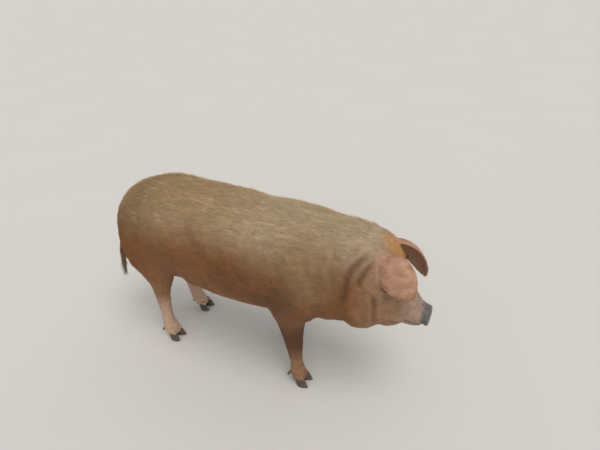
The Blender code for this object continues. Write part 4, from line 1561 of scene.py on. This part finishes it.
class Coat:
    """The coat over the skin, in pieces of solid tufts that lie along the body.

    LIMIT is the most triangles in one piece. The sinks are how deep roots and tips lie.
    """

    LIMIT = 196000
    SHORTEST_LOCK = 0.02
    ROOT_SINK = 0.0009
    TIP_SINK = 0.0004

    def __init__(self, skin: Object, hide: Hide, eyes: list[Eye]) -> None:
        """Read the skin's triangles, normals and masks.

        Args:
            skin: The finished skin.
            hide: What the skin was made by.
            eyes: Both eyes, which stay bare.
        """
        self.eyes = eyes
        corners_of_all = [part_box(name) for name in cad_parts]
        self.box = (np.min([np.array(low) for low, _ in corners_of_all], axis=0),
                    np.max([np.array(high) for _, high in corners_of_all], axis=0))
        mesh = skin.data
        mesh.calc_loop_triangles()
        self.points = points_of(mesh)
        self.normals = normals_of(mesh)
        self.corners = read(mesh.loop_triangles, "vertices", 3, np.int32)
        a, b, c = (self.points[self.corners[:, i]] for i in range(3))
        self.areas = np.linalg.norm(np.cross(b - a, c - a), axis=1) / 2.0
        self.masks = {}
        for name in ("ear", "cup", "rim", "disc", "teat", "fold", "lid", "nostril"):
            row = read(mesh.attributes[name].data, "value", 1, np.float32)
            self.masks[name] = row[:, 0].astype(float)
        tail, self.tail_along = line_distance(self.points, hide.tail)
        self.masks["tail"] = step(tail, 0.024, 0.017) * (self.points[:, 0] < -0.735)
        self.count = 0

    def density(self) -> Rows:
        """How thickly hair grows at each vertex, against 1 on the flank.

        Returns:
            One number a vertex, from 0 to 1.
        """
        x, _, z = self.points.T
        thick = 1.0 - 0.55 * step(z, 0.42, 0.36) * step(np.abs(self.normals[:, 2]), 0.5, 0.9)
        for bare in (step(z, 0.055, 0.030), self.masks["disc"], 0.72 * self.masks["cup"]):
            thick *= 1.0 - bare
        for eye in self.eyes:
            thick *= step(eye.opening(self.points), 0.0035, 0.0090)
        thick *= step(self.masks["nostril"], 0.4, 0.05)
        thick *= 1.0 - 0.45 * step(x, 0.725, 0.780)
        thick *= 1.0 - self.masks["teat"]
        return thick

    def sow_roots(self, count: int, weight: Rows, seed: int) -> tuple[Rows, Rows]:
        """Spread roots over the skin at random.

        Args:
            count: How many roots.
            weight: How thickly they stand, one number a vertex.
            seed: Fixes the draw.

        Returns:
            The triangle of each root, and its three weights inside that triangle.
        """
        draw = np.random.default_rng(seed)
        share = self.areas * weight[self.corners].mean(axis=1)
        edges = np.cumsum(share)
        chosen = np.searchsorted(edges, draw.uniform(0.0, edges[-1], count))
        chosen = np.minimum(chosen, len(share) - 1)
        first, second = np.sqrt(draw.uniform(size=count)), draw.uniform(size=count)
        inside = np.stack([1.0 - first, first * (1.0 - second), first * second], axis=1)
        return chosen, inside

    def at(self, rows: Rows, chosen: Rows, inside: Rows) -> Rows:
        """A vertex quantity read at the roots.

        Args:
            rows: The quantity, one row a vertex.
            chosen: The triangle of each root.
            inside: The root's three weights inside it.

        Returns:
            The quantity, one row a root.
        """
        corners = rows[self.corners[chosen]]
        if corners.ndim == 3:
            return (corners * inside[:, :, None]).sum(axis=1)
        return (corners * inside).sum(axis=1)

    def lie(self, places: Rows, normals: Rows, masks: dict[str, Rows]) -> Rows:
        """The direction that hair lies in at each root.

        Args:
            places: The roots.
            normals: The skin's outward directions there.
            masks: The parts that the roots belong to.

        Returns:
            Directions along the skin, with length 1.
        """
        x, y, z = places.T
        side = np.sign(y)
        down = step(z, 0.84, 0.56)
        ways = np.stack([-np.ones(len(x)), 0.05 * side, -0.10 - 0.75 * down], axis=1)
        swirl = bell(np.hypot(x - 0.23, z - 0.80), 0.10)
        ways[:, 2] += 0.9 * swirl * np.sin(20.0 * x + 4.0 * y)
        ham = step(x, -0.36, -0.52) * step(z, 0.30, 0.45)
        ways += ham[:, None] * LIES["ham"]
        belly = step(z, 0.44, 0.38) * step(np.abs(normals[:, 2]), 0.45, 0.8)
        ways += belly[:, None] * LIES["belly"]
        ways = blend(ways, LIES["leg"], step(z, 0.42, 0.30)[:, None])
        top = step(normals[:, 0] * 0.75 + normals[:, 2] * 0.65, 0.2, 0.7)[:, None]
        face = blend(LIES["cheek"], LIES["brow"], top) + side[:, None] * LIES["parting"] * top
        ways = blend(ways, face, step(x, 0.53, 0.66)[:, None])
        ear = LIES["ear"] + side[:, None] * LIES["ear_aside"]
        ways = blend(ways, ear, masks["ear"][:, None])
        ways = blend(ways, LIES["tail"], masks["tail"][:, None])
        return flat_to(ways, normals)

    def grow(self, kind: str, weight: Rows, scale: Rows | None = None, shift: int = 0) -> Growth:
        """Grow one kind of tuft over a part of the skin.

        Args:
            kind: The kind of tuft.
            weight: How thickly they stand, one number a vertex.
            scale: A factor on their length, one number a vertex.
            shift: Added to the kind's seed, for another draw.

        Returns:
            The tufts' growth.
        """
        bristle = KINDS[kind]
        count, seed = bristle.count, bristle.seed + shift
        draw = np.random.default_rng(seed + 1000)
        chosen, inside = self.sow_roots(count, weight, seed)
        places = self.at(self.points, chosen, inside)
        normals = unit(self.at(self.normals, chosen, inside))
        masks = {key: self.at(row, chosen, inside) for key, row in self.masks.items()}
        ways = self.lie(places, normals, masks)
        turn = bristle.stray * draw.normal(size=count)
        turn += 0.10 * wander(places, 0.160, seed + 3) + 0.035 * wander(places, 0.050, seed + 4)
        across = np.cross(normals, ways)
        ways = unit(ways * np.cos(turn)[:, None] + across * np.sin(turn)[:, None])
        size = draw.uniform(0.72, 1.22, count)
        if scale is not None:
            size *= self.at(scale, chosen, inside)
        lifts = bristle.lift * draw.uniform(0.6, 1.5, count)
        pales = bristle.pale * draw.uniform(0.2, 1.0, count)
        rise = bristle.length * size * np.maximum(lifts - 0.5 * bristle.bend, 0.02)
        size *= np.minimum(1.0, bristle.reach / rise)
        return Growth(places, normals, ways, bristle.length * size,
                      bristle.width * draw.uniform(0.75, 1.25, count), lifts,
                      bristle.bend * draw.uniform(0.7, 1.3, count), pales, masks, bristle.rings)

    def unwrap(self, places: Rows, masks: dict[str, Rows]) -> Rows:
        """Where roots lie on a flat unwrap of the skin: trunk, legs, ears and tail apart.

        Args:
            places: The roots.
            masks: The parts that the roots belong to.

        Returns:
            Places on the map, from 0 to 1.
        """
        x, y, z = places.T
        around = np.arctan2(y, z - 0.60) / (2.0 * math.pi) + 0.5
        spots = np.stack([0.01 + 0.56 * (x + 0.76) / 1.58, 0.01 + 0.97 * around], axis=1)
        for i, (word, foot_x) in enumerate(FEET.items()):
            sign = -1 if word.endswith("right") else 1
            here = (z < 0.34) & (y * sign > 0.0) & (np.abs(x - foot_x) < 0.15)
            angle = np.arctan2(y - sign * LEG_ASIDE, x - foot_x) / (2.0 * math.pi) + 0.5
            leg = np.stack([0.60 + 0.38 * angle, 0.01 + 0.17 * i + 0.155 * z / 0.34], axis=1)
            spots = np.where(here[:, None], leg, spots)
        for i, sign in enumerate((-1, 1)):
            here = (masks["ear"] > 0.5) & (y * sign > 0.0)
            flip = np.where(masks["cup"] > 0.5, 0.19, 0.0)
            ear = np.stack([0.60 + flip + 0.17 * (x - 0.58) / 0.21,
                            0.70 + 0.13 * i + 0.12 * (z - 0.52) / 0.27], axis=1)
            spots = np.where(here[:, None], ear, spots)
        on_tail = masks["tail"] > 0.5
        tail = np.stack([0.60 + 0.38 * (z - 0.23) / 0.45, 0.965 + 0.02 * (y + 0.11) / 0.13], axis=1)
        return np.clip(np.where(on_tail[:, None], tail, spots), 0.002, 0.995)

    def piece(self, name: str, growths: list[Growth], slot: str = "hide") -> None:
        """Make one or more coat objects of the growths, each under the limit of triangles.

        Args:
            name: The piece's name, which gets a number where there are more.
            growths: The tufts.
            slot: Not used.
        """
        material = bpy.data.materials.get("sow_bristle") or CoatFinish().material()
        parts: list[list[Growth]] = [[]]
        room = self.LIMIT
        for growth in (self._within(growth) for growth in growths):
            cost = 6 * growth.rings - 2
            start = 0
            while start < len(growth.places):
                taken = min(len(growth.places) - start, room // cost)
                if taken <= 0:
                    parts.append([])
                    room = self.LIMIT
                    continue
                parts[-1].append(growth.pick(np.arange(start, start + taken)))
                room -= taken * cost
                start += taken
        for i, part in enumerate(parts):
            full = name if len(parts) == 1 else f"{name}_{i + 1}"
            made = self._object(full, part)
            made.data.materials.append(material)
            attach(made, "root")
            self.count += len(made.data.polygons)
            LOG.info("%s: %d triangles", full, len(made.data.polygons))

    def _within(self, growth: Growth) -> Growth:
        """The tufts whose tips stay inside the box of the solids.

        Args:
            growth: The tufts.

        Returns:
            The tufts that are kept.
        """
        low, high = (np.array(corner) for corner in self.box)
        tips = self._spikes(growth)[0][:, -3:, :]
        inside = ((tips > low) & (tips < high)).all(axis=(1, 2))
        return growth.pick(inside)

    def _object(self, name: str, growths: list[Growth]) -> Object:
        """One mesh object of all tufts of some growths.

        Args:
            name: The object's name.
            growths: The tufts.

        Returns:
            The object.
        """
        points, faces, turns, spots = [], [], [], []
        numbers: dict[str, list[Rows]] = {}
        base = 0
        for i, growth in enumerate(growths):
            rows, tris, along = self._spikes(growth)
            count, per = len(growth.places), rows.shape[1]
            draw = np.random.default_rng(len(growth.places) + 17 * i)
            points.append(rows.reshape(-1, 3))
            turns.append(self._facing(growth, tris).reshape(-1, 3))
            offsets = base + np.arange(count)[:, None, None] * per
            faces.append((tris[None, :, :] + offsets).reshape(-1, 3))
            shade = np.clip(draw.normal(0.5, 0.24, count), 0.0, 1.2)
            # The fold number darkens tufts in the folds with painted shade
            each = {"shade": shade, "pale": growth.pales, "fold": growth.masks["fold"],
                    "ear": growth.masks["ear"], "tail": growth.masks["tail"]}
            numbers.setdefault("along", []).append(np.tile(along, count))
            for key, values in each.items():
                numbers.setdefault(key, []).append(np.repeat(values, per))
            spot = self.unwrap(growth.places, growth.masks)
            corner = np.stack([along, np.resize([0.0, 1.0, 0.5], per)], axis=1) * 0.003
            spots.append((spot[:, None, :] + corner[None, :, :]).reshape(-1, 2))
            base += count * per
        mesh = solid_mesh(name, np.concatenate(points), np.concatenate(faces))
        facing = mesh.attributes.new("custom_normal", "FLOAT_VECTOR", "CORNER")
        facing.data.foreach_set("vector", np.concatenate(turns).astype(np.float32).ravel())
        for key, values in numbers.items():
            put_numbers(mesh, key, np.concatenate(values))
        layer = mesh.uv_layers.new(name="OFBake")
        corners = np.concatenate(faces).ravel()
        layer.data.foreach_set("uv", np.concatenate(spots)[corners].ravel().astype(np.float32))
        return add_object(name, mesh)

    @staticmethod
    def _spikes(growth: Growth) -> tuple[Rows, Rows, Rows]:
        """Three-sided tapered spikes, closed at the root and pointed at the tip.

        Args:
            growth: The tufts' growth.

        Returns:
            Places by tuft and vertex, the triangles of one tuft, and how far along a tuft
            each of its vertices is.
        """
        across = np.cross(growth.normals, growth.ways)
        layers, along = [], []
        for ring in range(growth.rings):
            s = ring / growth.rings
            rise = growth.lengths * (growth.lifts * s - growth.bends * s * s)
            middle = (growth.places + growth.ways * (growth.lengths * s)[:, None]
                      + growth.normals * (rise - Coat.ROOT_SINK)[:, None])
            thinned = 0.5 if ring == 0 and growth.rings > 1 else 0.60 - 0.18 * s
            half = (growth.widths * thinned)[:, None]
            layers += [middle - across * half, middle + across * half,
                       middle + growth.normals * half * 0.75]
            along += [s, s, s]
        tip_rise = growth.lengths * (growth.lifts - growth.bends)
        layers.append(growth.places + growth.ways * growth.lengths[:, None]
                      + growth.normals * (tip_rise - Coat.TIP_SINK)[:, None])
        along.append(1.0)
        faces = [(0, 2, 1)]
        for ring in range(growth.rings - 1):
            for i in range(3):
                a, b = 3 * ring + i, 3 * ring + (i + 1) % 3
                faces += [(a, b, b + 3), (a, b + 3, a + 3)]
        last, tip = 3 * (growth.rings - 1), 3 * growth.rings
        faces += [(last, last + 1, tip), (last + 1, last + 2, tip), (last + 2, last, tip)]
        return np.stack(layers, axis=1), np.array(faces), np.array(along)

    @staticmethod
    def _facing(growth: Growth, faces: Rows) -> Rows:
        """The direction that each corner of the spikes is shaded in.

        Args:
            growth: The tufts' growth.
            faces: The triangles of one tuft.

        Returns:
            Directions by tuft, triangle and corner. They are near the skin's own on the upper
            faces and away from it underneath. Along an edge and on the tail they go round the
            tuft, because there it is seen from all sides.
        """
        across = np.cross(growth.normals, growth.ways)
        laid = np.stack([unit(growth.normals - across * 0.5), unit(growth.normals + across * 0.5),
                         growth.normals, -growth.normals], axis=1)
        tip = faces == 3 * growth.rings
        on_right = (faces % 3 == 1).any(axis=1)
        laid_kinds = np.where(tip | (faces % 3 == 2), 2, on_right[:, None].astype(int))
        laid_kinds[~(faces % 3 == 2).any(axis=1)] = 3
        rounded = np.stack([unit(-across - growth.normals * 0.4), unit(across - growth.normals * 0.4),
                            growth.normals, growth.ways], axis=1)
        free = (growth.masks["rim"] > 0.12) | (growth.masks["tail"] > 0.5)
        return np.where(free[:, None, None, None], rounded[:, np.where(tip, 3, faces % 3)],
                        laid[:, laid_kinds])

    def build(self) -> None:
        """Grow the whole coat."""
        x, y, z = self.points.T
        thick = self.density()
        ear, tail = self.masks["ear"], self.masks["tail"]
        head = step(x, 0.545, 0.575) * (1.0 - ear)
        leg = step(z, 0.385, 0.365) * (x < 0.45) * (np.abs(self.normals[:, 2]) < 0.75)
        trunk = thick * (1.0 - ear) * (1.0 - tail) * (1.0 - head) * (1.0 - leg)
        scale = 1.0 + 0.35 * step(z, 0.74, 0.84)
        scale *= 1.0 - 0.35 * step(z, 0.48, 0.38)
        for side in Side:
            half = trunk * (y * side.value > 0.0)
            self.piece("coat_side_" + side.name.lower(), [
                self.grow(kind, half, scale, side.value) for kind in ("guard", "fine")])
        ridge = trunk * step(z, 0.71, 0.83) * step(self.normals[:, 2], 0.35, 0.85)
        self.piece("coat_topline", [self.grow("crest", ridge), self.grow("loose", ridge)])
        face = thick * head
        short = 1.0 - 0.62 * step(x, 0.66, 0.78)
        for eye in self.eyes:
            short *= 1.0 - 0.6 * bell(eye.distance(self.points), 0.035)
        jowl = face * step(x, 0.72, 0.64)
        self.piece("coat_head", [self.grow("face", face, short), self.grow("jowl", jowl, short)])
        ears = thick * ear
        self.piece("coat_ears", [self.grow("ear", ears),
                                 self.grow("fringe", ears * self.masks["rim"])])
        legs = thick * leg * (1.0 - ear)
        leg_scale = 1.0 - 0.35 * step(z, 0.20, 0.08)
        coronet = thick * bell(z - 0.058, 0.007) * (np.abs(self.normals[:, 2]) < 0.75)
        self.piece("coat_legs", [self.grow("leg", legs, leg_scale),
                                 self.grow("leg_guard", legs, leg_scale),
                                 self.grow("over_claws", coronet)])
        self._tail_tuft(thick)
        self._lashes()
        LOG.info("coat: %d triangles", self.count)

    def _tail_tuft(self, thick: Rows) -> None:
        """Short hair on the tail and long tapered locks over its last third.

        Args:
            thick: How thickly hair grows at each vertex.
        """
        on_tail = thick * self.masks["tail"]
        locks = self.grow("locks", on_tail * step(self.tail_along, 0.52, 0.72))
        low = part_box("tail")[0].z + 0.004
        room = np.maximum(locks.places[:, 2] - low, self.SHORTEST_LOCK)
        locks.lengths = np.minimum(locks.lengths, room)
        self.piece("coat_tail", [self.grow("tail", on_tail), locks])

    def _lashes(self) -> None:
        """Coarse pale lashes along the upper lids."""
        growths = []
        for eye in self.eyes:
            draw = np.random.default_rng(81 + eye.side.value)
            across = np.linspace(-0.85, 0.95, 44) * eye.slot_half
            up = eye.slot_rise + eye.slot_height * (1.0 - (across / eye.slot_half) ** 2) + 0.0008
            ahead = np.sqrt(eye.radius ** 2 - across ** 2 - up ** 2) + eye.lid_thickness
            places = (eye.center + eye.ahead * ahead[:, None] + eye.level * across[:, None]
                      + eye.upright * up[:, None])
            count = len(across)
            ways = (eye.ahead + eye.upright * draw.uniform(-0.25, 0.15, count)[:, None]
                    + eye.level * (across / eye.slot_half * 0.5)[:, None])
            normals = flat_to(np.tile(eye.upright, (count, 1)), unit(ways))
            masks = {key: np.full(count, float(key == "rim")) for key in self.masks}
            growths.append(Growth(places, normals, unit(ways), draw.uniform(0.008, 0.012, count),
                                  np.full(count, 0.00045), np.full(count, 0.10), np.full(count, 0.45),
                                  draw.uniform(0.2, 0.5, count), masks, 3))
        self.piece("lashes", growths)


# The room


@dataclass(frozen=True)
class Studio:
    """The pale floor, the soft lights and the camera of the photographed view."""

    camera_place: Point = (0.9999, -1.4105, 1.700)
    camera_aim: Point = (-0.4036, 0.7632, -0.5045)
    camera_roll: float = math.radians(-3.3)
    lens: float = 27.18
    sky: Color = (1.0, 0.985, 0.955)
    sky_strength: float = 0.66
    suns: tuple[tuple[str, Point, float, float, Color], ...] = (
        ("key", (-0.40, 0.22, -1.0), 1.35, 0.60, (1.0, 0.965, 0.90)),
        ("front", (-0.60, 0.90, -0.50), 0.55, 1.0, (1.0, 0.98, 0.95)))

    def build(self) -> None:
        """Set the floor, lights, world and camera."""
        self._floor()
        for sun in self.suns:
            self._sun(*sun)
        world = bpy.data.worlds.new("studio")
        world.use_nodes = True
        background = world.node_tree.nodes["Background"]
        background.inputs["Color"].default_value = (*self.sky, 1.0)
        background.inputs["Strength"].default_value = self.sky_strength
        bpy.context.scene.world = world
        bpy.context.scene.view_settings.view_transform = "Standard"
        self._camera()

    @staticmethod
    def _floor() -> None:
        """Lay the floor, wide enough for every view."""
        bpy.ops.mesh.primitive_plane_add(size=400.0, location=(0.0, 0.0, 0.0))
        floor = bpy.context.view_layer.objects.active
        floor.name = "floor"
        floor.data.materials.append(FloorFinish().material())

    @staticmethod
    def _sun(name: str, way: Point, strength: float, spread: float, color: Color) -> None:
        """Shine one broad soft light from afar along a direction.

        Args:
            name: The lamp's name.
            way: The direction that it shines in.
            strength: How strong it is.
            spread: Its width in the sky, as an angle.
            color: Its colour.
        """
        lamp = bpy.data.lights.new(name, "SUN")
        lamp.energy = strength
        lamp.angle = spread
        lamp.color = color
        made = add_object(name, lamp)
        made.matrix_world = Vector(way).to_track_quat("-Z", "Y").to_matrix().to_4x4()

    def _camera(self) -> None:
        """Stand the camera where the photograph was taken from."""
        lens = bpy.data.cameras.new("camera")
        lens.lens = self.lens
        lens.sensor_width = 36.0
        lens.clip_start = 0.02
        made = add_object("camera", lens)
        aim = Vector(self.camera_aim).to_track_quat("-Z", "Y").to_matrix().to_4x4()
        roll = Matrix.Rotation(self.camera_roll, 4, "Z")
        made.matrix_world = Matrix.Translation(self.camera_place) @ aim @ roll
        bpy.context.scene.camera = made


def main() -> None:
    """Build the sow and the room round it."""
    logging.basicConfig(level=logging.INFO, format="%(message)s")
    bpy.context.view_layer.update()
    eyes = [Eye(side) for side in Side]
    hide = Hide()
    skin = hide.build(eyes)
    LOG.info("skin done")
    for eye in eyes:
        eye.build()
    for word in FEET:
        Foot(word).build()
    LOG.info("eyes and claws done")
    Coat(skin, hide, eyes).build()
    Studio().build()


if __name__ == "__main__":
    main()
